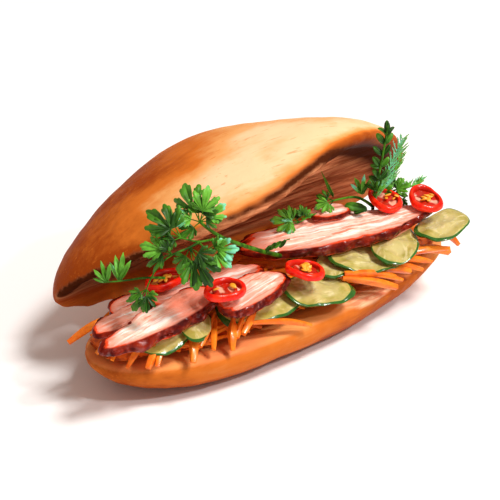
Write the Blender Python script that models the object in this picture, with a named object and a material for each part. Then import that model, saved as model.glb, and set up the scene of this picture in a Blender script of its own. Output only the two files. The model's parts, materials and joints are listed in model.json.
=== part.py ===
"""A banh mi sandwich: a short roll slit along its front, opened on the uncut strip at its back and filled.

Metres, +Z up. +X runs along the roll, -Y is the open side, and the table is at Z = 0.
The filling is laid as it would be by hand: the carrot strips first, heaped so that they climb towards the
back, then the cucumber, the pork and the chili, each piece coming to rest on what lies under it.
"""

import math
from typing import NamedTuple

import bmesh
import bpy
from mathutils import Vector, noise
from mathutils.bvhtree import BVHTree

# The roll's base.
BASE_LENGTH = 0.220
BASE_FRONT = 0.0355
BASE_BACK = 0.0445
BASE_RIM_HEIGHT = 0.0225
BASE_FLAT_DEPTH = 0.002
BASE_BACK_FULLNESS = 0.35
BASE_DISH = 0.003
BASE_SHIFT = -0.001
BASE_FRONT_TAPER = 0.20
BASE_LEFT_FULLNESS = 2.6
BASE_RIGHT_FULLNESS = 2.2
BASE_RIGHT_RISE = 0.6

# The roll's lid, in its own frame: across from front to back, and up from the cut.
LID_LENGTH = 0.218
LID_HALF_WIDTH = 0.045
LID_HEIGHT = 0.042
LID_BULGE = 0.010
LID_DISH = 0.006
LID_OPEN_DEG = 63.0
LID_TWIST_DEG = 2.5
LID_CLIMB_DEG = 3.2
LID_SHIFT = -0.0015
LID_HEIGHT_TAPER = 0.22
LID_LEFT_SWEEP = 0.0155
LID_RIGHT_SWEEP = 0.0165
# Where the lid swells or sags: at which t, how far either way, and by how much.
LID_SHOULDER = (-0.15, 0.45, 0.39)
LID_LIP_SAG = (-0.50, 1.10, -0.023)
LID_LIP_LIFT = (0.93, 0.15, 0.004)

# The uncut strip, which the lid opens on.
HINGE_BACK = 0.040
HINGE_HEIGHT = 0.0275
HINGE_IN_LID = 0.034
HINGE_LENGTH = 0.150
HINGE_CURVE = 0.004
HINGE_RADIUS = 0.0075
HINGE_DROP = 0.0035
HINGE_SIDES = 12

STATIONS = 31
HINGE_STATIONS = 13
ARC_STEPS = 16
CUT_STEPS = 6

# The heap of carrot strips on the base.
BED_END = 0.955
BED_BACK = 0.032
BED_SETBACK = 0.0105
BED_FRONT_DEPTH = 0.0090
BED_CLIMB = 0.24
BED_RISE = (0.75, 0.35, 0.006)
BED_LUMPS = 0.0022
BED_RAGGED = 0.005
BED_TUFT = 0.009
BED_THINNEST = 0.0012
BED_REACH = 0.0015
# How high the heap's edges stand, as a share of its height just inside them.
BED_LIP = 0.3
BED_COLUMNS = 34
BED_ROWS = 7

# How pieces lie on one another.
GAP = 0.0004
ROOF_GAP = 0.0015
ABOVE_ALL = 0.2
FEELERS = 8
SETTLE_STEPS = 30
STIFFNESS = 0.6
SQUARENESS = 0.9
UNEVENNESS = 0.15

# A slice's rings, from the middle of its top to the middle of its underside:
# how far out each lies, and how high, as shares of the slice's outline and thickness.
PORK_PROFILE = (
    (0.08, 1.0),
    (0.5, 1.0),
    (0.82, 0.98),
    (0.95, 0.84),
    (1.0, 0.5),
    (0.95, 0.14),
    (0.82, 0.0),
    (0.08, 0.0),
)
CUCUMBER_PROFILE = (
    (0.08, 1.0),
    (0.55, 1.0),
    (0.94, 1.0),
    (1.0, 0.75),
    (1.0, 0.25),
    (0.94, 0.0),
    (0.55, 0.0),
    (0.08, 0.0),
)
PORK_SIDES = 20
CUCUMBER_SIDES = 18

CHILI_WALL = 0.0034
# How far a ring of chili is out of round: twice and three times round it, as shares of its size.
CHILI_OVAL = 0.07
CHILI_LOBES = 0.05
RING_STEPS = 20
RING_SIDES = 6


class Slice(NamedTuple):
    """A slice on the pile: its middle, its turn about the vertical and its own sizes."""

    name: str
    x: float
    y: float
    turn: float
    length: float
    width: float
    thick: float
    tip: float = 0.26
    lean: float = 0.0
    droop: float = 0.0045
    seed: float = 0.0


class Ring(NamedTuple):
    """A ring of chili on the pile."""

    name: str
    x: float
    y: float
    turn: float
    length: float
    width: float
    high: float
    tip: float = 0.15
    lean: float = 0.0
    seed: float = 0.0


CUCUMBERS = (
    Slice("cucumber_1", -0.078, -0.017, 10, 0.032, 0.021, 0.0025, seed=1),
    Slice("cucumber_2", -0.0640, -0.0190, 62, 0.029, 0.016, 0.0025, seed=2),
    Slice("cucumber_3", -0.0265, -0.0185, 2, 0.053, 0.026, 0.0025, seed=3),
    Slice("cucumber_4", 0.002, -0.026, -8, 0.038, 0.025, 0.0025, seed=4),
    Slice("cucumber_5", 0.022, -0.014, 25, 0.026, 0.020, 0.0025, seed=5),
    Slice("cucumber_6", 0.038, -0.0195, -14, 0.040, 0.025, 0.0025, seed=6),
    Slice("cucumber_7", 0.0555, -0.0195, 44, 0.039, 0.025, 0.0025, tip=0.35, seed=7),
    Slice("cucumber_8", 0.0850, -0.0225, 12, 0.035, 0.023, 0.0025, droop=0.001, seed=8),
)

PORK = (
    Slice("pork_3", -0.084, 0.003, 0, 0.026, 0.013, 0.006, seed=3),
    Slice("pork_2", -0.096, -0.008, 5, 0.029, 0.012, 0.005, droop=0.003, seed=2),
    Slice("pork_5", -0.047, -0.0045, 2, 0.064, 0.020, 0.0040, droop=0.006, seed=5),
    Slice("pork_1", -0.0820, -0.0205, 8, 0.067, 0.0155, 0.0065, droop=0.005, seed=1),
    Slice("pork_4", -0.0360, -0.0245, 15, 0.048, 0.020, 0.0062, droop=0.0055, seed=4),
    Slice("pork_6", 0.0325, -0.0025, -11, 0.108, 0.0275, 0.0075, droop=0.007, seed=6),
    Slice("pork_7", 0.0335, 0.0065, -8, 0.024, 0.014, 0.004, tip=0.35, droop=0.003, seed=7),
)

CHILI = (
    Ring("chili_1", -0.067, 0.001, 0, 0.022, 0.014, 0.0045, seed=1),
    Ring("chili_2", -0.053, -0.028, 0, 0.020, 0.017, 0.0045, tip=0.12, seed=2),
    Ring("chili_3", -0.005, -0.025, 0, 0.020, 0.017, 0.0045, lean=-0.2, seed=3),
    Ring("chili_4", 0.0625, -0.003, 0, 0.0180, 0.018, 0.0045, tip=0.30, seed=4),
    Ring("chili_5", 0.0810, -0.0130, 0, 0.020, 0.0185, 0.0045, tip=0.30, seed=5),
)


def taper(t, fullness, bluntness):
    """How wide the roll is at t, from -1 at its left end to 1 at its right, as a share of its middle."""
    return max(0.0, 1.0 - abs(t) ** fullness) ** bluntness


def stations(count):
    """Places from -1 to 1 that crowd together towards both ends."""
    return [0.998 * math.sin(math.pi / 2 * (-1 + 2 * i / (count - 1))) for i in range(count)]


def swell(t, bump):
    """A smooth bump in t, given as its middle, its reach and its height."""
    middle, reach, height = bump
    return height * math.exp(-(((t - middle) / reach) ** 2))


def base_width(t):
    """How wide the base is at t, as a share of its middle: blunter at its left end than at its right."""
    return taper(t, BASE_LEFT_FULLNESS if t < 0 else BASE_RIGHT_FULLNESS, 0.55)


def base_section(t):
    """The base's outline at t: round the crust from front rim to back rim, then forward over the cut."""
    width = base_width(t)
    front_reach = BASE_FRONT * (1 - BASE_FRONT_TAPER * t)
    rise = 1 - BASE_RIGHT_RISE * max(0.0, t) ** 2
    depth = (BASE_RIM_HEIGHT + BASE_FLAT_DEPTH) * taper(t, 4.0, 0.5) * rise
    points = []
    for i in range(ARC_STEPS + 1):
        a = math.pi * i / ARC_STEPS
        reach = front_reach if a < math.pi / 2 else BASE_BACK
        across = -math.copysign(abs(math.cos(a)) ** 0.8, math.cos(a)) * reach * width
        fullness = 1 + BASE_BACK_FULLNESS * max(0.0, -math.cos(a))
        points.append((across, BASE_RIM_HEIGHT - depth * fullness * math.sin(a) ** 0.75))
    front, back = points[0][0], points[-1][0]
    for i in range(1, CUT_STEPS):
        share = i / CUT_STEPS
        dish = BASE_DISH * width * math.sin(math.pi * share) ** 0.6
        points.append((back + (front - back) * share, BASE_RIM_HEIGHT - dish))
    return [(t * BASE_LENGTH / 2 + BASE_SHIFT, y, max(0.0, z)) for y, z in points]


def lid_section(t):
    """The lid's outline at t: over the crust from front to back, then forward under the cut."""
    width = LID_HALF_WIDTH * taper(t, 2.4, 0.55)
    high = taper(t, 2.2, 0.62) * (1 - LID_HEIGHT_TAPER * t + swell(t, LID_SHOULDER))
    centre = LID_BULGE * high
    rise = (LID_HEIGHT - LID_BULGE) * high
    under = math.asin(min(1.0, LID_BULGE / (LID_HEIGHT - LID_BULGE)))
    points = []
    for i in range(ARC_STEPS + 1):
        a = -under + (math.pi + 2 * under) * i / ARC_STEPS
        points.append((-width * math.cos(a), centre + rise * math.sin(a)))
    front, back = points[0][0], points[-1][0]
    for i in range(1, CUT_STEPS):
        share = i / CUT_STEPS
        dish = LID_DISH * high * math.sin(math.pi * share) ** 0.6
        points.append((back + (front - back) * share, dish))
    lip = swell(t, LID_LIP_SAG) + swell(t, LID_LIP_LIFT)
    sweep = (LID_LEFT_SWEEP if t < 0 else LID_RIGHT_SWEEP) * t * t
    return [
        opened(t, across + sweep, up + lip * high * (0.5 - across / (2 * width)) ** 2)
        for across, up in points
    ]


def opened(t, across, up):
    """A point of the lid in the roll's frame, once the lid is open on the uncut strip."""
    angle = math.radians(LID_OPEN_DEG + LID_TWIST_DEG * t)
    x = t * LID_LENGTH / 2
    ahead = HINGE_IN_LID - across
    y = HINGE_BACK - ahead * math.cos(angle) + up * math.sin(angle)
    z = HINGE_HEIGHT + ahead * math.sin(angle) + up * math.cos(angle)
    return (x + LID_SHIFT, y, z + x * math.tan(math.radians(LID_CLIMB_DEG)))


def hinge_section(t):
    """The uncut strip's outline at t: a round bar of crumb that bridges the two back rims."""
    size = HINGE_RADIUS * taper(t, 4.0, 0.5)
    x = t * HINGE_LENGTH / 2
    y = HINGE_BACK - HINGE_CURVE * t * t
    turn = 2 * math.pi / HINGE_SIDES
    return [
        (x, y + size * math.cos(i * turn), HINGE_HEIGHT - HINGE_DROP + size * math.sin(i * turn))
        for i in range(HINGE_SIDES)
    ]


def skin(rings):
    """The corners and faces of a skin over a run of closed rings, with both ends capped."""
    sides = len(rings[0])
    corners = [point for ring in rings for point in ring]
    faces = []
    for row in range(len(rings) - 1):
        for i in range(sides):
            j = (i + 1) % sides
            near, far = row * sides, (row + 1) * sides
            faces.append((near + i, near + j, far + j, far + i))
    last = (len(rings) - 1) * sides
    faces.append(tuple(reversed(range(sides))))
    faces.append(tuple(last + i for i in range(sides)))
    return corners, faces


def solid(name, corners, faces, material):
    """An object with smooth faces that all point out."""
    shape = bmesh.new()
    made = [shape.verts.new(point) for point in corners]
    for face in faces:
        shape.faces.new([made[i] for i in face])
    bmesh.ops.recalc_face_normals(shape, faces=shape.faces)
    mesh = bpy.data.meshes.new(name)
    shape.to_mesh(mesh)
    shape.free()
    mesh.shade_smooth()
    mesh.materials.append(material)
    piece = bpy.data.objects.new(name, mesh)
    bpy.context.collection.objects.link(piece)
    return piece


def join_to(piece, other):
    """Joins another solid to a piece, and keeps that solid as a guide that isn't part of the sandwich."""
    union = piece.modifiers.new(other.name, "BOOLEAN")
    union.operation = "UNION"
    union.solver = "EXACT"
    union.object = other
    other.hide_render = True
    other.display_type = "WIRE"


def tree(corners, faces):
    """A shape that rays can be cast at."""
    return BVHTree.FromPolygons([Vector(point) for point in corners], faces)


class Pile:
    """What has been laid so far. Each new piece comes to rest on it."""

    def __init__(self):
        self.layers = []
        self.lid = None

    def add(self, corners, faces):
        """Lays a shape on the pile."""
        self.layers.append(tree(corners, faces))

    def top(self, x, y):
        """The highest point of the pile at (x, y), or the table."""
        down = Vector((0.0, 0.0, -1.0))
        hits = [layer.ray_cast(Vector((x, y, ABOVE_ALL)), down)[0] for layer in self.layers]
        return max([hit.z for hit in hits if hit] + [0.0])

    def roof(self, x, y):
        """The lid's lowest point over (x, y), or well above it all."""
        hit = self.lid.ray_cast(Vector((x, y, BASE_RIM_HEIGHT)), Vector((0.0, 0.0, 1.0)))[0]
        return hit.z if hit else ABOVE_ALL

    def floor(self, x, y, reach):
        """The highest point of the pile within reach of (x, y)."""
        heights = [self.top(x, y)]
        for ring in (0.5, 1.0):
            for i in range(FEELERS):
                a = 2 * math.pi * i / FEELERS
                heights.append(self.top(x + ring * reach * math.cos(a), y + ring * reach * math.sin(a)))
        return max(heights)


def outline(piece, angle):
    """The edge of a slice at an angle round its middle, before the slice is turned: an uneven oval."""
    along = math.copysign(abs(math.cos(angle)) ** SQUARENESS, math.cos(angle)) * piece.length / 2
    across = math.copysign(abs(math.sin(angle)) ** SQUARENESS, math.sin(angle)) * piece.width / 2
    wobble = noise.noise(Vector((1.3 * math.cos(angle), 1.3 * math.sin(angle), 7.1 * piece.seed)))
    grow = 1 + UNEVENNESS * wobble
    return along * grow, across * grow


def spot(piece, share, angle):
    """Where a share of the way from a slice's middle to its edge lies on the table's plan."""
    along, across = (share * reach for reach in outline(piece, angle))
    turn = math.radians(piece.turn)
    x = piece.x + along * math.cos(turn) - across * math.sin(turn)
    y = piece.y + along * math.sin(turn) + across * math.cos(turn)
    return x, y


def settle(piece, shares, sides, pile):
    """Lays a slice's underside on the pile: flat as it lands, then sagging where nothing bears it."""
    angles = [2 * math.pi * i / sides for i in range(sides)]
    spots = [[spot(piece, share, a) for a in angles] for share in shares]
    reach = 0.35 * piece.width * math.pi / sides + 0.001
    floors = [[pile.floor(x, y, reach) + GAP for x, y in ring] for ring in spots]
    flat = [[piece.tip * (y - piece.y) + piece.lean * (x - piece.x) for x, y in ring] for ring in spots]
    lift = max(f - z for low, level in zip(floors, flat) for f, z in zip(low, level))
    heights = [[z + lift for z in ring] for ring in flat]
    for _ in range(SETTLE_STEPS):
        before = [list(ring) for ring in heights]
        middle = sum(before[1]) / sides
        for row in range(len(shares)):
            for i in range(sides):
                inner = before[row - 1][i] if row else middle
                outer = before[min(row + 1, len(shares) - 1)][i]
                beside = before[row][i - 1] + before[row][(i + 1) % sides]
                smooth = (inner + outer + beside) / 4
                fallen = before[row][i] + STIFFNESS * (smooth - before[row][i]) - piece.droop / SETTLE_STEPS
                heights[row][i] = max(floors[row][i], fallen)
        heights[0] = [max(heights[0])] * sides
    return heights


def slice_solid(piece, profile, sides, material, pile):
    """A slice of meat or cucumber: an uneven oval with its profile's edge, laid on the pile."""
    shares = sorted({share for share, height in profile})
    under = settle(piece, shares, sides, pile)
    rings = []
    for share, height in profile:
        base = under[shares.index(share)]
        ring = []
        for i in range(sides):
            x, y = spot(piece, share, 2 * math.pi * i / sides)
            ring.append((x, y, base[i] + height * piece.thick))
        rings.append(ring)
    corners, faces = skin(rings)
    pile.add(corners, faces)
    return solid(piece.name, corners, faces, material)


def ring_solid(ring, material, pile):
    """A ring of chili, out of round and tipped a little, resting on the pile by its lowest points."""
    turn = math.radians(ring.turn)
    steps = [2 * math.pi * i / RING_STEPS for i in range(RING_STEPS)]

    def corner(a, out, up):
        radius = 1 + CHILI_OVAL * math.sin(2 * a + ring.seed)
        radius += CHILI_LOBES * math.sin(3 * a + 2.1 * ring.seed)
        along = (ring.length / 2 * radius + out) * math.cos(a)
        across = (ring.width / 2 * radius + out) * math.sin(a)
        x = ring.x + along * math.cos(turn) - across * math.sin(turn)
        y = ring.y + along * math.sin(turn) + across * math.cos(turn)
        z = up + ring.tip * (y - ring.y) + ring.lean * (x - ring.x)
        return x, y, z

    wall = CHILI_WALL / 2
    section = [
        (wall * math.cos(b), ring.high / 2 * (1 + math.sin(b)))
        for b in (2 * math.pi * (i + 0.5) / RING_SIDES for i in range(RING_SIDES))
    ]
    loops = [[corner(a, out - wall, up) for out, up in section] for a in steps]
    lift = max(
        pile.floor(x, y, CHILI_WALL / 2) + GAP - z
        for loop in loops
        for x, y, z in loop
    )
    corners = [(x, y, z + lift) for loop in loops for x, y, z in loop]
    faces = []
    for row in range(RING_STEPS):
        near, far = row * RING_SIDES, (row + 1) % RING_STEPS * RING_SIDES
        for i in range(RING_SIDES):
            j = (i + 1) % RING_SIDES
            faces.append((near + i, near + j, far + j, far + i))
    pile.add(corners, faces)
    return solid(ring.name, corners, faces, material)


def bed_solid(material, pile):
    """The heap of carrot strips: it fills the cut from end to end and climbs towards the back."""
    tops, bottoms = [], []
    for i in range(BED_COLUMNS + 1):
        t = math.sin(math.pi / 2 * (-1 + 2 * i / BED_COLUMNS)) * BED_END
        width = base_width(t)
        x = t * BASE_LENGTH / 2 + BASE_SHIFT
        ragged = BED_RAGGED * noise.noise(Vector((x / BED_TUFT, 3.7, 0.0)))
        front = -(BASE_FRONT * (1 - BASE_FRONT_TAPER * t) - BED_SETBACK) * width + ragged
        back = BED_BACK * width
        for j in range(BED_ROWS + 1):
            share = j / BED_ROWS
            y = front + (back - front) * share
            low = pile.floor(x, y, BED_REACH) + GAP
            inside = min(4 * share, 3 * (1 - share), 6 * (1 - abs(t) / BED_END))
            edge = min(1.0, BED_LIP + inside)
            lumps = BED_LUMPS * noise.noise(Vector((x / BED_TUFT, y / BED_TUFT, 1.9)))
            high = BED_FRONT_DEPTH + BED_CLIMB * (y - front) + lumps + share * swell(t, BED_RISE)
            bottoms.append((x, y, low))
            room = pile.roof(x, y) - ROOF_GAP - low
            tops.append((x, y, low + max(BED_THINNEST, min(room, high * edge))))
    rows = BED_ROWS + 1
    corners = bottoms + tops
    under = len(bottoms)
    faces = []
    for i in range(BED_COLUMNS):
        for j in range(BED_ROWS):
            a, b = i * rows + j, (i + 1) * rows + j
            faces.append((a, a + 1, b + 1, b))
            faces.append((under + a, under + b, under + b + 1, under + a + 1))
    rim = [i * rows for i in range(BED_COLUMNS + 1)]
    rim += [BED_COLUMNS * rows + j for j in range(1, rows)]
    rim += [i * rows + BED_ROWS for i in range(BED_COLUMNS - 1, -1, -1)]
    rim += [j for j in range(BED_ROWS - 1, 0, -1)]
    for k, a in enumerate(rim):
        b = rim[(k + 1) % len(rim)]
        faces.append((a, b, under + b, under + a))
    pile.add(corners, faces)
    return solid("carrot_bed", corners, faces, material)


def finish(name, colour, roughness, coat=0.0):
    """A plain Principled material."""
    material = bpy.data.materials.new(name)
    material.use_nodes = True
    shader = material.node_tree.nodes["Principled BSDF"]
    shader.inputs["Base Color"].default_value = (*colour, 1.0)
    shader.inputs["Roughness"].default_value = roughness
    shader.inputs["Coat Weight"].default_value = coat
    return material


def bread(pile):
    """The roll: its base and its open lid, made one by the uncut strip at the back."""
    crust = finish("crust", (0.72, 0.36, 0.12), 0.55)
    base_shape = skin([base_section(t) for t in stations(STATIONS)])
    lid_shape = skin([lid_section(t) for t in stations(STATIONS)])
    hinge_shape = skin([hinge_section(t) for t in stations(HINGE_STATIONS)])
    roll = solid("bread", *base_shape, crust)
    for name, shape in (("lid_form", lid_shape), ("hinge_form", hinge_shape)):
        join_to(roll, solid(name, *shape, crust))
    pile.add(*base_shape)
    pile.lid = tree(*lid_shape)
    return roll


def main():
    """Clears the file and builds the sandwich from the bread up."""
    for thing in list(bpy.data.objects):
        bpy.data.objects.remove(thing)
    pile = Pile()
    bread(pile)
    bed_solid(finish("carrot", (0.90, 0.28, 0.03), 0.45), pile)
    cucumber = finish("cucumber", (0.72, 0.74, 0.33), 0.3, 0.3)
    pork = finish("pork", (0.78, 0.38, 0.28), 0.4, 0.4)
    chili = finish("chili", (0.80, 0.03, 0.01), 0.2, 0.5)
    for piece in CUCUMBERS:
        slice_solid(piece, CUCUMBER_PROFILE, CUCUMBER_SIDES, cucumber, pile)
    for piece in PORK:
        slice_solid(piece, PORK_PROFILE, PORK_SIDES, pork, pile)
    for ring in CHILI:
        ring_solid(ring, chili, pile)


if __name__ == "__main__":
    main()
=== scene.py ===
"""Banh mi sandwich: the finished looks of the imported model.

Every piece of food is modelled over the solid of the same name, in metres, in the model's own frame:
+X runs along the roll, -Y is its open side and +Z is up.
"""

import json
import math
import random

import bpy
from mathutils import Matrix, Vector
from mathutils.bvhtree import BVHTree
from mathutils.kdtree import KDTree

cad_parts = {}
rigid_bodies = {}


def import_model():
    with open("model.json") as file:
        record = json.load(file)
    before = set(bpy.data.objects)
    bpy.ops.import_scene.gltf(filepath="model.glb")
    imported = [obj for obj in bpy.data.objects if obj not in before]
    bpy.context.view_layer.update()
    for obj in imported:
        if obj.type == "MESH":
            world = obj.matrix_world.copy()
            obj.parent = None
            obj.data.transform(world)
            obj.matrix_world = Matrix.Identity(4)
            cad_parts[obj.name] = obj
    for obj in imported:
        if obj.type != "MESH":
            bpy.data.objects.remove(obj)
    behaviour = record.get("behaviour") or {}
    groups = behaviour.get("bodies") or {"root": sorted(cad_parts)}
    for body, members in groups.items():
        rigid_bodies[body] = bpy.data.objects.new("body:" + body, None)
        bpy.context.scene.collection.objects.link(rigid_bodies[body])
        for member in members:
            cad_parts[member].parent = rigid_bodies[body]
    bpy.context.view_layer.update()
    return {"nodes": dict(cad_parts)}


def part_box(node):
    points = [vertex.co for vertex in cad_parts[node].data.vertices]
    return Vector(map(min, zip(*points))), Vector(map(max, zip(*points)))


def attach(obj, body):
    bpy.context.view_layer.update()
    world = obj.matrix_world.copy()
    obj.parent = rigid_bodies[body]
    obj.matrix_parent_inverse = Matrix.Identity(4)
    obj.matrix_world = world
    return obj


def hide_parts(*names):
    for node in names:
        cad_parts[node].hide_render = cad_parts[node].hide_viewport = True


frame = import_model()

bl_info = {
    "name": "Banh Mi Sandwich",
    "version": (1, 0, 0),
    "blender": (4, 5, 0),
    "location": "3D View > Sidebar > Banh Mi",
    "description": "Dresses the sandwich model: bread, pork, cucumber, chili, carrot strips and herbs",
    "category": "Object",
}

# How the lid lies when it is open, so that its crust and its crumb can be told apart.
LID_OPEN_DEG = 63.0
LID_TWIST_DEG = 2.5
LID_CLIMB_DEG = 3.2
LID_HALF_LENGTH = 0.109
HINGE = Vector((0.0, 0.040, 0.0275))
LID_FROM = 0.034
RIM_STEP = 0.0015
SAUCE_AT = (0.0300, -0.0280, 0.0215)

# Which way each slice's length runs, in degrees from +X, and how lean it is at its left and at its right.
PORK_SLICES = {
    "pork_1": (8, 0.0, 1.0),
    "pork_2": (5, 0.55, 0.35),
    "pork_3": (0, 0.65, 0.65),
    "pork_4": (15, 0.55, 0.15),
    "pork_5": (2, 0.55, 0.45),
    "pork_6": (-11, 0.20, 0.05),
    "pork_7": (-8, 0.45, 0.45),
}
# Which way each slice's length runs, in degrees from +X.
CUCUMBER_TURNS = {
    "cucumber_1": 10,
    "cucumber_2": 62,
    "cucumber_3": 2,
    "cucumber_4": -8,
    "cucumber_5": 25,
    "cucumber_6": -14,
    "cucumber_7": 44,
    "cucumber_8": 12,
}

# How many seeds lie in each ring of chili, and how far their cluster is off its middle.
CHILI_SEEDS = {
    "chili_1": (5, -0.0008, -0.0010),
    "chili_2": (2, 0.0, 0.0),
    "chili_3": (10, 0.0, 0.0),
    "chili_4": (4, 0.0030, -0.0010),
    "chili_5": (8, 0.0006, 0.0),
}

# Carrot strips that show, from their hanging or outer end inwards.
SHOWN_STRIPS = (
    ((-0.1160, 0.0065, 0.0295), (-0.1080, 0.0062, 0.0335), (-0.0980, 0.0050, 0.0365), (-0.0860, 0.0030, 0.037)),
    ((-0.1085, -0.0060, 0.0275), (-0.1040, -0.0060, 0.0310), (-0.0960, -0.0050, 0.0335), (-0.0850, -0.002, 0.035)),
    ((-0.1015, -0.0215, 0.0255), (-0.0970, -0.0195, 0.0290), (-0.0900, -0.0160, 0.0315), (-0.0800, -0.009, 0.033)),
    ((-0.0940, -0.0270, 0.0255), (-0.0900, -0.0245, 0.0290), (-0.0830, -0.0200, 0.0315), (-0.0740, -0.011, 0.033)),
    ((-0.0900, -0.0285, 0.0258), (-0.0870, -0.0255, 0.0290), (-0.0800, -0.0200, 0.0310), (-0.0720, -0.011, 0.032)),
    ((-0.0745, -0.0340, 0.0250), (-0.0720, -0.0310, 0.0285), (-0.0680, -0.0240, 0.0315), (-0.0600, -0.013, 0.033)),
    ((-0.0680, -0.0300, 0.0290), (-0.0640, -0.0275, 0.0310), (-0.0590, -0.0230, 0.0330), (-0.0500, -0.015, 0.034)),
    ((-0.0625, -0.0325, 0.0265), (-0.0600, -0.0290, 0.0300), (-0.0570, -0.0250, 0.0320), (-0.0500, -0.015, 0.033)),
    ((-0.0540, -0.0355, 0.0245), (-0.0525, -0.0325, 0.0290), (-0.0490, -0.0280, 0.0315), (-0.0400, -0.016, 0.033)),
    ((-0.0500, -0.0325, 0.0285), (-0.0470, -0.0300, 0.0305), (-0.0420, -0.0260, 0.0325), (-0.0340, -0.018, 0.033)),
    ((-0.0465, -0.0330, 0.0295), (-0.0430, -0.0310, 0.0310), (-0.0380, -0.0270, 0.0325), (-0.0300, -0.019, 0.033)),
    ((-0.0110, -0.0380, 0.0240), (-0.0175, -0.0365, 0.0275), (-0.0290, -0.0330, 0.0305), (-0.0450, -0.028, 0.032)),
    ((0.0430, -0.0370, 0.0265), (0.0380, -0.0355, 0.0290), (0.0290, -0.0320, 0.0325), (0.0170, -0.0260, 0.0350)),
    ((0.0480, -0.0355, 0.0285), (0.0430, -0.0340, 0.0310), (0.0340, -0.0305, 0.0340), (0.0210, -0.0250, 0.0360)),
    ((0.0450, -0.0335, 0.0305), (0.0390, -0.0320, 0.0330), (0.0290, -0.0290, 0.0355), (0.0190, -0.0250, 0.0365)),
    ((0.0550, -0.0330, 0.0300), (0.0500, -0.0315, 0.0320), (0.0430, -0.0290, 0.0340), (0.0340, -0.0240, 0.0350)),
    ((0.0830, -0.0310, 0.0335), (0.0750, -0.0300, 0.0355), (0.0640, -0.0280, 0.0365), (0.0500, -0.0240, 0.0365)),
    ((0.0700, -0.0325, 0.0305), (0.0650, -0.0310, 0.0325), (0.0580, -0.0285, 0.0345), (0.0480, -0.0240, 0.0350)),
    ((0.0630, -0.0335, 0.0285), (0.0580, -0.0320, 0.0310), (0.0520, -0.0295, 0.0335), (0.0420, -0.0240, 0.0345)),
    ((0.0850, -0.0290, 0.0300), (0.0790, -0.0275, 0.0330), (0.0700, -0.0255, 0.0350), (0.0600, -0.0220, 0.0360)),
    ((0.0965, -0.0240, 0.0285), (0.0930, -0.0215, 0.0340), (0.0870, -0.0190, 0.0370), (0.0780, -0.0150, 0.0375)),
)

# The plane that the herbs spread in: it faces the open side, tipped back a little.
TO_RIGHT = Vector((0.819, -0.574, 0.0))
TO_TOP = Vector((0.269, 0.384, 0.883))
TO_FRONT = Vector((-0.507, -0.723, 0.469))

KEY_FROM = (0.38, -0.44, 1.1)
KEY_SOFTNESS_DEG = 15.0
GLINT_FROM = (0.30, -0.70, 0.75)
GLINT_SIZE = 0.08

# What each kind of leaflet looks like: its rounded teeth as (degrees off its middle, how far out, radius) for a
# leaflet of length 1, or no teeth and how wide it is for its length.
LEAFLETS = {
    "cut": (
        (
            (0, 0.92, 0.08),
            (-9, 0.80, 0.075),
            (9, 0.80, 0.075),
            (-11, 0.62, 0.065),
            (11, 0.62, 0.065),
            (-37, 0.78, 0.075),
            (37, 0.78, 0.075),
            (-30, 0.66, 0.065),
            (30, 0.66, 0.065),
            (-46, 0.62, 0.07),
            (46, 0.62, 0.07),
            (-66, 0.50, 0.075),
            (66, 0.50, 0.075),
            (-75, 0.38, 0.07),
            (75, 0.38, 0.07),
        ),
        0.0,
    ),
    "oval": ((), 0.44),
    "feather": ((), 0.22),
    "blade": ((), 0.09),
}
LEAF_COLUMNS = 72
BARE_SHARE = 0.30
TWIG = 0.0007
LEAF_SPREAD_DEG = 84

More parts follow.
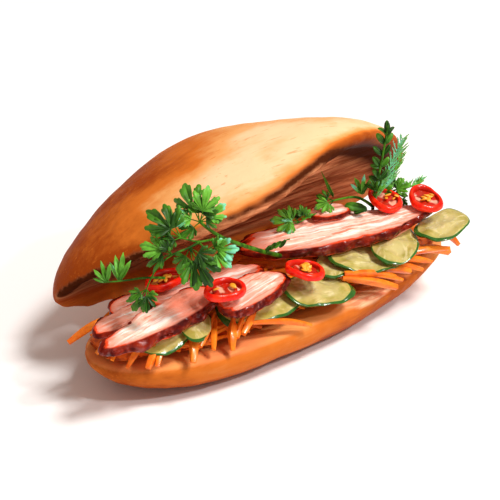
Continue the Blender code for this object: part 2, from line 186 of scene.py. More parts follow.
# Herb leaves: where the stalk ends, their kind, how pale they are, partly painted light and shade, and each
# leaflet's turn (0 is right and 90 is up) and length.
HERB_LEAVES = (
    ((-0.0612, -0.0215, 0.0869), "cut", 0.30, ((117, 0.0195), (75, 0.0165), (35, 0.0140), (164, 0.0135), (221, 0.0115))),
    ((-0.0612, -0.0208, 0.0866), "cut", 0.05, ((96, 0.0130), (55, 0.0120), (5, 0.0100))),
    ((-0.074, -0.026, 0.0850), "cut", 0.25, ((118, 0.0165), (140, 0.0190), (168, 0.0150), (204, 0.0100))),
    ((-0.080, -0.028, 0.0797), "cut", 0.12, ((161, 0.0145), (198, 0.0130), (128, 0.0080))),
    ((-0.0705, -0.0278, 0.0796), "cut", 0.05, ((241, 0.0135), (278, 0.0190), (298, 0.0195), (328, 0.0135))),
    ((-0.060, -0.026, 0.0750), "cut", 0.28, ((0, 0.0140), (323, 0.0135), (30, 0.0090))),
    ((-0.090, -0.022, 0.0625), "cut", 0.00, ((210, 0.0090), (236, 0.0125), (273, 0.0105), (310, 0.0070))),
    ((-0.098, -0.013, 0.0655), "feather", 0.25, ((60, 0.0105), (82, 0.0125), (100, 0.0110), (122, 0.0090))),
    ((-0.104, -0.012, 0.0660), "feather", 0.15, ((75, 0.0090), (105, 0.0100), (135, 0.0080), (165, 0.0060))),
    ((0.0130, 0.004, 0.0545), "cut", 0.32, ((176, 0.0150), (150, 0.0120), (200, 0.0110))),
    ((0.0170, 0.006, 0.0535), "cut", 0.05, ((100, 0.0080), (135, 0.0075), (60, 0.0065))),
    ((0.0340, 0.004, 0.0605), "cut", 0.10, ((160, 0.0095), (200, 0.0105), (235, 0.0085))),
    ((0.0370, 0.008, 0.0600), "blade", 0.30, ((116, 0.0150),)),
    ((0.0526, 0.004, 0.0590), "feather", 0.25, ((60, 0.0085), (85, 0.0100), (110, 0.0100), (140, 0.0080))),
    ((0.0500, -0.0035, 0.0540), "oval", -0.25, ((168, 0.0115), (195, 0.0070))),
    ((0.0610, -0.0035, 0.0925), "oval", -0.15, ((95, 0.0070), (48, 0.0055), (140, 0.0058))),
    ((0.0602, -0.0030, 0.0875), "oval", -0.12, ((55, 0.0068), (130, 0.0072))),
    ((0.0592, -0.0030, 0.0815), "oval", -0.18, ((50, 0.0066), (138, 0.0068))),
    ((0.0582, -0.0035, 0.0755), "oval", -0.12, ((55, 0.0064), (132, 0.0070), (172, 0.0056))),
    ((0.0574, -0.004, 0.0690), "oval", -0.08, ((50, 0.0068), (125, 0.0068), (165, 0.0062))),
    ((0.0566, -0.003, 0.0620), "feather", 0.20, ((45, 0.0085), (75, 0.0090), (115, 0.0085), (145, 0.0080))),
    ((0.0700, 0.002, 0.0565), "cut", 0.08, ((20, 0.0115), (50, 0.0100), (345, 0.0095), (85, 0.0080))),
    ((0.0640, 0.004, 0.0560), "cut", 0.04, ((70, 0.0100), (110, 0.0090), (30, 0.0085))),
    ((0.0770, 0.003, 0.0510), "cut", 0.05, ((270, 0.0075), (225, 0.0070), (315, 0.0065))),
)
SPRIG_LEAFLETS = 4

# Herb stalks: their routes from the filling outwards, and how thick each is at its start.
HERB_STALKS = (
    (((0.012, 0.004, 0.034), (-0.0125, -0.008, 0.0495), (-0.037, -0.018, 0.0665), (-0.055, -0.024, 0.0795), (-0.0612, -0.0215, 0.0869)), 0.0026),
    (((-0.046, -0.021, 0.0735), (-0.058, -0.026, 0.0795), (-0.067, -0.028, 0.0810), (-0.074, -0.026, 0.0850)), 0.0013),
    (((-0.066, -0.028, 0.0812), (-0.0705, -0.0278, 0.0797), (-0.080, -0.028, 0.0797), (-0.087, -0.024, 0.0725), (-0.090, -0.022, 0.0625)), 0.0012),
    (((-0.066, -0.028, 0.0812), (-0.064, -0.027, 0.0780), (-0.060, -0.026, 0.0750)), 0.0010),
    (((-0.076, -0.014, 0.0600), (-0.087, -0.016, 0.0650), (-0.096, -0.014, 0.0650), (-0.105, -0.012, 0.0664)), 0.0012),
    (((0.036, 0.010, 0.052), (0.024, 0.006, 0.0560), (0.013, 0.004, 0.0545)), 0.0012),
    (((0.060, 0.004, 0.050), (0.052, 0.003, 0.0575), (0.044, 0.004, 0.0600), (0.034, 0.004, 0.0605)), 0.0018),
    (((0.062, 0.006, 0.046), (0.056, -0.001, 0.0590), (0.057, -0.004, 0.0745), (0.0600, -0.003, 0.0870), (0.0612, -0.0035, 0.0975)), 0.0018),
    (((0.064, 0.006, 0.048), (0.070, 0.002, 0.0565), (0.076, 0.001, 0.0575)), 0.0014),
    (((-0.0035, -0.010, 0.0560), (-0.012, -0.0115, 0.0575), (-0.0200, -0.013, 0.0570)), 0.0006),
)

# Fronds of dill: routes, and how long their threads are.
DILL_FRONDS = (
    (((0.058, 0.000, 0.056), (0.061, -0.003, 0.068), (0.065, -0.005, 0.080), (0.069, -0.006, 0.089)), 0.0065),
    (((0.060, 0.000, 0.058), (0.065, -0.003, 0.066), (0.069, -0.004, 0.075), (0.071, -0.004, 0.083)), 0.0060),
    (((0.072, 0.000, 0.056), (0.077, -0.002, 0.0583), (0.082, -0.003, 0.0585), (0.086, -0.003, 0.0615)), 0.0045),
)


def only(*pieces):
    """Selects these objects and nothing else, the first of them active."""
    bpy.ops.object.select_all(action="DESELECT")
    for piece in pieces:
        piece.select_set(True)
    bpy.context.view_layer.objects.active = pieces[0]


def applied(piece, kind, **values):
    """Adds a modifier to a piece and applies it."""
    only(piece)
    modifier = piece.modifiers.new(kind.title(), kind)
    for key, value in values.items():
        setattr(modifier, key, value)
    bpy.ops.object.modifier_apply(modifier=modifier.name)


def copied(node, name):
    """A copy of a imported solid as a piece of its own, with its loose triangles welded into quads."""
    only(frame["nodes"][node])
    bpy.ops.object.duplicate()
    piece = bpy.context.object
    bpy.ops.object.parent_clear(type="CLEAR_KEEP_TRANSFORM")
    piece.name = piece.data.name = name
    for key in list(piece.keys()):
        del piece[key]
    bpy.ops.object.mode_set(mode="EDIT")
    bpy.ops.mesh.select_all(action="SELECT")
    bpy.ops.mesh.remove_doubles(threshold=1e-5)
    bpy.ops.mesh.tris_convert_to_quads(face_threshold=math.radians(50), shape_threshold=math.radians(60))
    bpy.ops.object.mode_set(mode="OBJECT")
    piece.data.materials.clear()
    if piece.data.has_custom_normals:
        bpy.ops.mesh.customdata_custom_splitnormals_clear()
    bpy.ops.object.shade_smooth()
    return piece


def clouds(name, size, depth=2, contrast=1.0, kind="CLOUDS"):
    """A procedural texture for a Displace modifier."""
    texture = bpy.data.textures.new(name, kind)
    texture.noise_scale = size
    texture.contrast = contrast
    if kind == "CLOUDS":
        texture.noise_depth = depth
    return texture


def displaced(piece, texture, strength, group="", guide=None, direction="NORMAL"):
    """Pushes a piece's surface in and out by a texture, and may follow a guide's place and turn."""
    values = {"texture": texture, "strength": strength, "mid_level": 0.5, "direction": direction}
    values["vertex_group"] = group
    if guide:
        values["texture_coords"] = "OBJECT"
        values["texture_coords_object"] = guide
    else:
        values["texture_coords"] = "LOCAL"
    applied(piece, "DISPLACE", **values)


def painted(piece, name, value_of):
    """Gives each vertex a value from 0 to 1, as an attribute for the material and a group for modifiers."""
    mesh = piece.data
    values = [min(1.0, max(0.0, value_of(v.co, v.normal))) for v in mesh.vertices]
    attribute = mesh.attributes.get(name) or mesh.attributes.new(name, "FLOAT", "POINT")
    attribute.data.foreach_set("value", values)
    group = piece.vertex_groups.get(name) or piece.vertex_groups.new(name=name)
    for i, value in enumerate(values):
        if value > 0.01:
            group.add([i], value, "REPLACE")


def placed(piece, name, vector_of):
    """Gives each vertex a vector of its own, for a pattern that follows the piece."""
    mesh = piece.data
    attribute = mesh.attributes.get(name) or mesh.attributes.new(name, "FLOAT_VECTOR", "POINT")
    flat = [c for v in mesh.vertices for c in vector_of(v.co)]
    attribute.data.foreach_set("vector", flat)


def ramp(value, low, high):
    """0 below low, 1 above high and smooth between them, also where low is above high."""
    share = min(1.0, max(0.0, (value - low) / (high - low)))
    return share * share * (3 - 2 * share)


def finish_piece(piece, slot, *nodes):
    """Hands a finished piece over: it rides on the sandwich and may stand for solids. Its slot is not used."""
    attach(piece, "root")
    if nodes:
        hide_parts(*nodes)


# Materials


def shader_node(tree, kind, **values):
    """A shader node with its settings."""
    made = tree.nodes.new(kind)
    for key, value in values.items():
        setattr(made, key, value)
    return made


def wired(tree, socket, source):
    """Links a socket to a source, or sets it to a plain number or colour."""
    if isinstance(source, (int, float)):
        socket.default_value = source
    elif isinstance(source, bpy.types.NodeSocket):
        tree.links.new(source, socket)
    else:
        socket.default_value = (*source, 1.0)


def sum_of(tree, kind, a, b):
    """Two values put together by a Math node."""
    made = shader_node(tree, "ShaderNodeMath", operation=kind)
    wired(tree, made.inputs[0], a)
    wired(tree, made.inputs[1], b)
    return made.outputs["Value"]


def total(tree, *parts):
    """The sum of (value, weight) pairs."""
    value = 0.0
    for part, weight in parts:
        value = sum_of(tree, "ADD", value, sum_of(tree, "MULTIPLY", part, weight))
    return value


def ranged(tree, value, low, high, to_low=0.0, to_high=1.0):
    """A value mapped smoothly from one range to another and kept inside it."""
    made = shader_node(tree, "ShaderNodeMapRange", interpolation_type="SMOOTHSTEP")
    for name, number in (("From Min", low), ("From Max", high), ("To Min", to_low), ("To Max", to_high)):
        made.inputs[name].default_value = number
    wired(tree, made.inputs["Value"], value)
    return made.outputs["Result"]


def blended(tree, factor, a, b):
    """Two colours mixed."""
    made = shader_node(tree, "ShaderNodeMix", data_type="RGBA")
    sockets = [socket for socket in made.inputs if socket.enabled]
    for socket, value in zip(sockets, (factor, a, b)):
        wired(tree, socket, value)
    return [socket for socket in made.outputs if socket.enabled][0]


def attribute_of(tree, name, vector=False):
    """Reads a piece's own attribute."""
    made = shader_node(tree, "ShaderNodeAttribute", attribute_name=name)
    return made.outputs["Vector"] if vector else made.outputs["Fac"]


def place_of(tree):
    """Object coordinates."""
    return shader_node(tree, "ShaderNodeTexCoord").outputs["Object"]


def effect(name, numbers):
    """A node group with a Vector and some numbers in and a Value out, and the two ends of its tree."""
    group = bpy.data.node_groups.new(name, "ShaderNodeTree")
    group.interface.new_socket("Vector", in_out="INPUT", socket_type="NodeSocketVector")
    for number in numbers:
        group.interface.new_socket(number, in_out="INPUT", socket_type="NodeSocketFloat")
    group.interface.new_socket("Value", in_out="OUTPUT", socket_type="NodeSocketFloat")
    return group, group.nodes.new("NodeGroupInput"), group.nodes.new("NodeGroupOutput")


def streaks_effect():
    """Streaks drawn out along a pattern's first axis, for crust, torn crumb, meat fibres and carrot grain."""
    group, start, end = effect("streaks", ("Along", "Across", "Waviness"))
    scale = shader_node(group, "ShaderNodeCombineXYZ")
    group.links.new(start.outputs["Along"], scale.inputs["X"])
    group.links.new(start.outputs["Across"], scale.inputs["Y"])
    group.links.new(start.outputs["Across"], scale.inputs["Z"])
    drawn = shader_node(group, "ShaderNodeVectorMath", operation="MULTIPLY")
    group.links.new(start.outputs["Vector"], drawn.inputs[0])
    group.links.new(scale.outputs["Vector"], drawn.inputs[1])
    noise = shader_node(group, "ShaderNodeTexNoise")
    noise.inputs["Scale"].default_value = 1.0
    noise.inputs["Detail"].default_value = 5.0
    noise.inputs["Roughness"].default_value = 0.6
    group.links.new(drawn.outputs["Vector"], noise.inputs["Vector"])
    group.links.new(start.outputs["Waviness"], noise.inputs["Distortion"])
    group.links.new(noise.outputs["Fac"], end.inputs["Value"])
    return group


def mottle_effect():
    """Soft uneven patches, the same size every way, that all the food has."""
    group, start, end = effect("mottle", ("Scale", "Detail"))
    noise = shader_node(group, "ShaderNodeTexNoise")
    group.links.new(start.outputs["Vector"], noise.inputs["Vector"])
    group.links.new(start.outputs["Scale"], noise.inputs["Scale"])
    group.links.new(start.outputs["Detail"], noise.inputs["Detail"])
    group.links.new(noise.outputs["Fac"], end.inputs["Value"])
    return group


def shared(name, make):
    """A node group that is made once, for the first material that needs it."""
    return bpy.data.node_groups.get(name) or make()


def streaks_at(tree, vector, along, across, waviness=0.0):
    """The value of the streaks group."""
    made = shader_node(tree, "ShaderNodeGroup", node_tree=shared("streaks", streaks_effect))
    tree.links.new(vector, made.inputs["Vector"])
    for name, number in (("Along", along), ("Across", across), ("Waviness", waviness)):
        made.inputs[name].default_value = number
    return made.outputs["Value"]


def mottle_at(tree, vector, scale, detail=3.0):
    """The value of the mottle group."""
    made = shader_node(tree, "ShaderNodeGroup", node_tree=shared("mottle", mottle_effect))
    tree.links.new(vector, made.inputs["Vector"])
    made.inputs["Scale"].default_value = scale
    made.inputs["Detail"].default_value = detail
    return made.outputs["Value"]


def bumped(tree, shader, height, strength, distance):
    """Gives a shader a relief."""
    made = shader_node(tree, "ShaderNodeBump")
    made.inputs["Strength"].default_value = strength
    made.inputs["Distance"].default_value = distance
    wired(tree, made.inputs["Height"], height)
    tree.links.new(made.outputs["Normal"], shader.inputs["Normal"])


def new_material(name, roughness, shine=0.25, **values):
    """A material, its node tree and its Principled BSDF."""
    material = bpy.data.materials.new(name)
    material.use_nodes = True
    shader = material.node_tree.nodes["Principled BSDF"]
    shader.inputs["Roughness"].default_value = roughness
    shader.inputs["Specular IOR Level"].default_value = shine
    for key, value in values.items():
        shader.inputs[key.replace("_", " ")].default_value = value
    return material, material.node_tree, shader


def crust_and_crumb(settings):
    """Baked crust with painted shade on it, the torn crumb under the lid with painted shade in the fold under its lip,
    and the smooth stained crumb of the base.
    """
    material, tree, shader = new_material("bread", 0.5, 0.03)
    place = place_of(tree)
    broad = streaks_at(tree, place, 16, 30)
    patches = mottle_at(tree, place, 60.0)
    lines = streaks_at(tree, place, 45, 330, 0.4)
    fine = mottle_at(tree, place, 900.0)
    # The crust's tone: its baking and painted shade, with streaks and patches.
    tone = total(
        tree, (attribute_of(tree, "baked"), 1.0), (broad, 0.60), (patches, 0.40), (lines, 0.30), (1.0, -0.65)
    )
    colour = blended(tree, ranged(tree, tone, 0.0, 0.34), settings.crust_pale, settings.crust_gold)
    colour = blended(tree, ranged(tree, tone, 0.30, 0.66), colour, settings.crust_amber)
    colour = blended(tree, ranged(tree, tone, 0.62, 1.0), colour, settings.crust_brown)
    scratches = ranged(tree, streaks_at(tree, place, 55, 620), 0.60, 0.68, 0.0, 0.5)
    colour = blended(tree, scratches, colour, settings.crust_amber)
    torn = streaks_at(tree, place, 20, 230, 0.6)
    rough = streaks_at(tree, place, 60, 600)
    crumb_tone = total(tree, (torn, 0.7), (rough, 0.3))
    crumb = blended(tree, ranged(tree, crumb_tone, 0.40, 0.60), settings.crumb_dark, settings.crumb)
    crumb = blended(tree, ranged(tree, crumb_tone, 0.58, 0.68, 0.0, 0.6), crumb, settings.crumb_pale)
    mask = attribute_of(tree, "crumb")
    colour = blended(tree, mask, colour, crumb)
    stained = blended(tree, ranged(tree, broad, 0.35, 0.65), settings.base_crumb, settings.base_crumb_red)
    stained = blended(tree, ranged(tree, lines, 0.55, 0.75, 0.0, 0.5), stained, settings.crust_gold)
    colour = blended(tree, attribute_of(tree, "stained"), colour, stained)
    smear = sum_of(tree, "MULTIPLY", attribute_of(tree, "sauce"), ranged(tree, patches, 0.38, 0.52, 0.0, 0.85))
    colour = blended(tree, smear, colour, blended(tree, ranged(tree, lines, 0.4, 0.6), settings.sauce, settings.sauce_red))
    # Painted shade: darkest in the fold under the lid's lip, and across the lid's underside at its left end.
    colour = blended(tree, attribute_of(tree, "fold_shade"), colour, settings.fold_shade)
    wired(tree, shader.inputs["Base Color"], colour)
    wired(tree, shader.inputs["Roughness"], ranged(tree, mask, 0.2, 0.8, 0.50, 0.85))
    torn_height = sum_of(tree, "MULTIPLY", mask, crumb_tone)
    bumped(tree, shader, total(tree, (fine, 0.2), (lines, 0.6), (torn_height, 1.3)), 0.35, 0.0012)
    return material


def roast_pork(settings):
    """Sliced roast pork: pale fibres on the cut face, a red line, and a dark glaze round the outside."""
    material, tree, shader = new_material("roast_pork", 0.4, 0.06, Subsurface_Weight=0.08, Subsurface_Scale=0.002)
    shader.inputs["Subsurface Radius"].default_value = (1.0, 0.3, 0.2)
    grain = attribute_of(tree, "grain", True)
    share = attribute_of(tree, "share")
    fibres = streaks_at(tree, grain, 40, 480, 0.8)
    bundles = streaks_at(tree, grain, 22, 150, 1.2)
    lumps = mottle_at(tree, grain, 150.0)
    spots = mottle_at(tree, grain, 420.0, 5.0)
    fat = total(tree, (bundles, 0.6), (lumps, 0.4))
    colour = blended(tree, ranged(tree, fat, 0.42, 0.55), settings.pork_pink, settings.pork_pale)
    colour = blended(tree, ranged(tree, fibres, 0.50, 0.60, 0.0, 0.95), colour, settings.pork_fibre)
    colour = blended(tree, ranged(tree, fibres, 0.44, 0.36, 0.0, 0.9), colour, settings.pork_edge)
    colour = blended(tree, ranged(tree, bundles, 0.63, 0.70, 0.0, 0.8), colour, settings.pork_streak)
    lean = total(tree, (attribute_of(tree, "lean"), 1.0), (bundles, 0.8), (lumps, 0.6), (fibres, -0.5), (1.0, -0.45))
    colour = blended(tree, ranged(tree, lean, 0.15, 0.85, 0.0, 0.85), colour, settings.pork_edge)
    edge = total(tree, (share, 1.0), (bundles, 0.30), (lumps, 0.16), (1.0, -0.23))
    colour = blended(tree, ranged(tree, edge, 0.66, 0.88, 0.0, 0.75), colour, settings.pork_edge)
    colour = blended(tree, ranged(tree, edge, 0.86, 0.90), colour, settings.pork_line)
    glaze_tone = total(tree, (spots, 0.25), (lumps, 0.45), (bundles, 0.30))
    glaze = blended(tree, ranged(tree, glaze_tone, 0.42, 0.60), settings.glaze_dark, settings.glaze_red)
    glaze = blended(tree, ranged(tree, glaze_tone, 0.62, 0.72), glaze, settings.glaze_bright)
    side = ranged(tree, attribute_of(tree, "cut"), 0.80, 0.55)
    outside = sum_of(tree, "MAXIMUM", ranged(tree, edge, 0.91, 0.95), side)
    colour = blended(tree, outside, colour, glaze)
    wired(tree, shader.inputs["Base Color"], colour)
    wired(tree, shader.inputs["Roughness"], ranged(tree, outside, 0.0, 1.0, 0.45, 0.16))
    wet = sum_of(tree, "MULTIPLY", outside, ranged(tree, spots, 0.54, 0.64, 0.08, 1.0))
    wired(tree, shader.inputs["Coat Weight"], wet)
    shader.inputs["Coat Roughness"].default_value = 0.08
    bumped(tree, shader, total(tree, (fibres, 0.9), (bundles, 0.9)), 0.5, 0.0014)
    return material


def cucumber_flesh(settings):
    """Cucumber: wet, see-through flesh, a paler seed core, a thin dark-green skin, and pale streaks of painted sheen.
    """
    material, tree, shader = new_material(
        "cucumber", 0.25, 0.3, Subsurface_Weight=0.2, Subsurface_Scale=0.003, Coat_Weight=0.5, Coat_Roughness=0.06
    )
    shader.inputs["Subsurface Radius"].default_value = (1.0, 0.9, 0.3)
    grain = attribute_of(tree, "grain", True)
    share = attribute_of(tree, "share")
    mottle = mottle_at(tree, grain, 120.0)
    # Painted sheen: pale streaks over the flesh and lighter skin, which also give a little relief.
    wet = streaks_at(tree, grain, 90, 260, 1.0)
    core = ranged(tree, share, 0.68, 0.52)
    flat = shader_node(tree, "ShaderNodeVectorMath", operation="MULTIPLY")
    tree.links.new(grain, flat.inputs[0])
    flat.inputs[1].default_value = (230, 330, 0)
    cells = shader_node(tree, "ShaderNodeTexVoronoi")
    cells.inputs["Scale"].default_value = 1.0
    tree.links.new(flat.outputs["Vector"], cells.inputs["Vector"])
    seed = sum_of(tree, "MULTIPLY", ranged(tree, cells.outputs["Distance"], 0.40, 0.26), core)
    colour = blended(tree, ranged(tree, mottle, 0.40, 0.60), settings.cucumber_flesh, settings.cucumber_deep)
    colour = blended(tree, ranged(tree, wet, 0.53, 0.66, 0.0, 0.8), colour, settings.cucumber_core_and_sheen)
    colour = blended(tree, sum_of(tree, "MULTIPLY", core, 0.4), colour, settings.cucumber_core_and_sheen)
    colour = blended(tree, sum_of(tree, "MULTIPLY", seed, 0.25), colour, settings.cucumber_seed)
    colour = blended(tree, ranged(tree, share, 0.86, 0.93, 0.0, 0.55), colour, settings.cucumber_under_skin)
    skin = blended(tree, wet, settings.cucumber_skin, settings.cucumber_skin_sheen)
    colour = blended(tree, ranged(tree, share, 0.905, 0.925), colour, skin)
    wired(tree, shader.inputs["Base Color"], colour)
    bumped(tree, shader, total(tree, (seed, 0.5), (wet, 0.6), (mottle, 0.3)), 0.3, 0.0008)
    return material


def chili_skin(settings):
    """Red chili: shiny skin outside, and a darker wall inside, which is painted shade."""
    material, tree, shader = new_material("chili", 0.22, 0.15, Coat_Weight=0.25, Coat_Roughness=0.04)
    place = place_of(tree)
    mottle = mottle_at(tree, place, 320.0)
    colour = blended(tree, ranged(tree, mottle, 0.35, 0.65), settings.chili_red, settings.chili_bright)
    # Painted shade on the ring's inner wall.
    colour = blended(tree, attribute_of(tree, "inner"), colour, settings.chili_inner_shade)
    wired(tree, shader.inputs["Base Color"], colour)
    bumped(tree, shader, mottle, 0.25, 0.0008)
    return material


def chili_wet_flesh(settings):
    """The flesh across a ring of chili: dark red, partly painted shade of the ring's hollow, with pale membranes here
    and there.
    """
    material, tree, shader = new_material("chili_flesh_and_shade", 0.2, 0.3, Coat_Weight=0.4, Coat_Roughness=0.05)
    place = place_of(tree)
    folds = mottle_at(tree, place, 420.0)
    membrane = mottle_at(tree, place, 170.0, 1.0)
    colour = blended(tree, ranged(tree, folds, 0.38, 0.62), settings.chili_flesh_and_shade, settings.chili_inner_shade)
    colour = blended(tree, ranged(tree, membrane, 0.56, 0.66, 0.0, 0.8), colour, settings.chili_membrane)
    wired(tree, shader.inputs["Base Color"], colour)
    bumped(tree, shader, folds, 0.4, 0.0008)
    return material


def herb_leaf_finish(settings):
    """Herb leaves: painted light and shade, dark at the base, paler towards some tips with painted highlights and
    along the veins, with a waxy sheen.
    """
    material, tree, shader = new_material("herb_leaf", 0.42, 0.25)
    place = place_of(tree)
    mottle = mottle_at(tree, place, 240.0)
    out = attribute_of(tree, "out")
    # Each leaf's painted light and shade: its listed tone, paler towards its tip, and patches.
    tone = total(tree, (attribute_of(tree, "tone"), 1.0), (mottle, 0.6), (out, 0.35), (1.0, -0.30))
    colour = blended(tree, ranged(tree, tone, 0.0, 0.38), settings.leaf_dark, settings.leaf)
    colour = blended(tree, ranged(tree, tone, 0.38, 0.62), colour, settings.leaf_light)
    # The palest tone is a painted highlight on some tips.
    colour = blended(tree, ranged(tree, tone, 0.66, 0.80), colour, settings.mint_and_highlight)
    vein = ranged(tree, attribute_of(tree, "vein"), 0.5, 1.0, 0.0, 0.3)
    colour = blended(tree, vein, colour, settings.leaf_light)
    wired(tree, shader.inputs["Base Color"], colour)
    bumped(tree, shader, total(tree, (mottle, 0.5), (attribute_of(tree, "vein"), -1.0)), 0.4, 0.0005)
    return material


def plain_food(name, light, dark, scale, roughness, stretch=1.0, shine=0.3, **values):
    """A finish for small pieces: two colours in streaks or patches, with a little relief."""
    material, tree, shader = new_material(name, roughness, shine, **values)
    tone = streaks_at(tree, place_of(tree), scale / stretch, scale)
    wired(tree, shader.inputs["Base Color"], blended(tree, ranged(tree, tone, 0.38, 0.62), light, dark))
    bumped(tree, shader, tone, 0.3, 0.0006)
    return material


# Pieces


def lid_place(point):
    """A point in the lid's own terms: how far ahead of the hinge it is, and which way is up from the cut."""
    t = point.x / LID_HALF_LENGTH
    angle = math.radians(LID_OPEN_DEG + LID_TWIST_DEG * t)
    dy = point.y - HINGE.y
    dz = point.z - HINGE.z - point.x * math.tan(math.radians(LID_CLIMB_DEG))
    up_way = Vector((0.0, math.sin(angle), math.cos(angle)))
    return dz * math.sin(angle) - dy * math.cos(angle), up_way


def lid_rim(piece):
    """The lid's front edge: in each short stretch of its length, the point farthest ahead of the hinge, evened out."""
    farthest = {}
    for v in piece.data.vertices:
        if v.co.z > LID_FROM:
            ahead = lid_place(v.co)[0]
            stretch = round(v.co.x / RIM_STEP)
            if ahead > farthest.get(stretch, (0.0, None))[0]:
                farthest[stretch] = (ahead, v.co.copy())
    line = [farthest[stretch][1] for stretch in sorted(farthest)]
    rim = KDTree(len(line))
    for i in range(len(line)):
        reach = min(4, i, len(line) - 1 - i)
        near = line[i - reach : i + reach + 1]
        rim.insert(sum(near, Vector()) / len(near), i)
    rim.balance()
    return rim


def underside(point, normal):
    """How much a point of the roll faces down into the open sandwich, from the lid."""
    return ramp(point.z, LID_FROM, LID_FROM + 0.006) * ramp(normal.dot(lid_place(point)[1]), -0.10, -0.45)


def lip_share(x):
    """How far back the fold lies under the lid's lip, as a share of its greatest: farthest back on the right."""
    return 0.25 + 0.20 * ramp(x, -0.06, -0.02) + 0.45 * ramp(x, 0.015, 0.06)


def baking_and_shade_at(point, normal, off_rim):
    """How dark the crust is: pale along the lid's front, darker at its back, ends and on the base, and painted shade
    where the lip faces down and low on the base's sides.
    """
    lid = ramp(point.x, 0.010, -0.085) * 0.92
    lid *= 1 - 0.82 * ramp(off_rim, 0.040, 0.016) * ramp(point.x, -0.092, -0.050)
    ahead, up_way = lid_place(point)
    lid += 0.30 * ramp(ahead, 0.075, 0.061) * ramp(point.x, 0.075, 0.015) * ramp(point.x, -0.085, -0.040)
    # Darker where the lip faces down: partly toasting, partly painted shade.
    under_lip_shade = ramp(normal.dot(up_way), 0.15, -0.35) * ramp(off_rim, 0.030, 0.015)
    lid += 0.75 * under_lip_shade + ramp(point.x, 0.072, 0.100) * 0.85 + 0.02
    base = 0.64 + 0.20 * ramp(point.x, -0.06, -0.10) + 0.14 * ramp(point.x, 0.00, 0.04)
    # Darker low on the base's sides, which is painted shade, and lighter at its right end.
    base += 0.40 * ramp(point.z, 0.015, 0.002) - 0.32 * ramp(point.x, 0.070, 0.10)
    share = ramp(point.z, 0.029, 0.045)
    return share * lid + (1 - share) * base


class BANHMI_OT_bread(bpy.types.Operator):
    """Bakes the roll: a smooth crust, torn crumb on the lid's cut face and a smooth crumb on the base's"""

    bl_idname = "banhmi.bread"
    bl_label = "Bread"

    def execute(self, context):
        settings = context.scene.banhmi_bread
        roll = copied("bread", "roll")
        applied(roll, "REMESH", mode="VOXEL", voxel_size=settings.grain * 2)
        applied(roll, "SMOOTH", factor=0.6, iterations=settings.softness)
        applied(roll, "REMESH", mode="VOXEL", voxel_size=settings.grain)
        applied(roll, "SMOOTH", factor=0.5, iterations=10)
        rim = lid_rim(roll)

        def past_lip(point):
            """How far a point lies behind the fold under the lid's lip."""
            return rim.find(point)[2] - settings.lip * lip_share(point.x)

        def crumb(point, normal):
            return underside(point, normal) * ramp(past_lip(point), -0.003, 0.0)

        # Painted shade along the fold under the lid's lip and across the lid's underside at its left end.
        def fold_shade(point, normal):
            behind = past_lip(point)
            wide = settings.fold * (0.75 + 0.6 * ramp(point.x, 0.01, 0.06) + 0.6 * ramp(point.x, -0.06, -0.09))
            if behind > 0:
                wide += settings.fold * 1.5 * ramp(point.x, 0.02, 0.07)
            shade = max(1.6 * math.exp(-((behind / wide) ** 2)), 0.6 * ramp(point.x, -0.045, -0.080))
            return min(1.0, underside(point, normal) * shade)

        def stained(point, normal):
            return ramp(point.z, 0.034, 0.030) * ramp(normal.z, 0.40, 1.00) * ramp(point.z, 0.0145, 0.0190)

        def sauce(point, normal):
            off = point - Vector(SAUCE_AT)
            return ramp((off.x / 0.018) ** 2 + (off.y / 0.0060) ** 2 + (off.z / 0.0045) ** 2, 1.3, 0.5)

        painted(roll, "sauce", sauce)
        painted(roll, "crumb", crumb)
        painted(roll, "fold_shade", fold_shade)
        painted(roll, "stained", stained)
        # This tone holds both the crust's baking and painted shade.
        painted(roll, "baked", lambda point, normal: baking_and_shade_at(point, normal, rim.find(point)[2]))
        painted(roll, "crust", lambda point, normal: 1.0 - underside(point, normal))
        displaced(roll, clouds("dents", 0.035), 0.0020, "crust")
        displaced(roll, clouds("blisters", 0.008), 0.0004, "crust")
        guide = grain_guide(0, (0.030, 0.0042, 0.0042))
        displaced(roll, clouds("torn", 1.0, 2), 0.0026, "crumb", guide)
        bpy.data.objects.remove(guide)
        roll.data.materials.append(crust_and_crumb(settings))
        only(roll)
        bpy.ops.object.shade_smooth()
        finish_piece(roll, "crust", "bread")
        return {"FINISHED"}


def own_frame(piece, turn):
    """A slice's middle, its half sizes, and its directions along and across."""
    along = Vector((math.cos(math.radians(turn)), math.sin(math.radians(turn)), 0.0))
    across = Vector((-along.y, along.x, 0.0))
    points = [v.co for v in piece.data.vertices]
    spans = []
    for way in (along, across):
        reach = [point.dot(way) for point in points]
        spans.append((min(reach), max(reach)))
    (low, high), (near, far) = spans
    middle = along * (low + high) / 2 + across * (near + far) / 2
    return middle, (high - low) / 2, (far - near) / 2, along, across


def own_patterns(piece, turn, seed):
    """Gives a slice its grain, and how far out towards its edge each point lies."""
    middle, half_length, half_width, along, across = own_frame(piece, turn)

    def grain(point):
        off = point - middle
        return off.dot(along) + 3.7 * seed, off.dot(across) + 1.3 * seed, point.z

    def share(point, normal):
        off = point - middle
        a, b = off.dot(along) / half_length, off.dot(across) / half_width
        return (abs(a) ** 2.2 + abs(b) ** 2.2) ** (1 / 2.2)

    placed(piece, "grain", grain)
    painted(piece, "share", share)
    painted(piece, "cut", lambda point, normal: abs(normal.z))


def grain_guide(turn, stretch):
    """An empty that turns and stretches a modifier's texture along a slice."""
    bpy.ops.object.empty_add(rotation=(0, 0, math.radians(turn)))
    guide = bpy.context.object
    guide.scale = stretch
    return guide


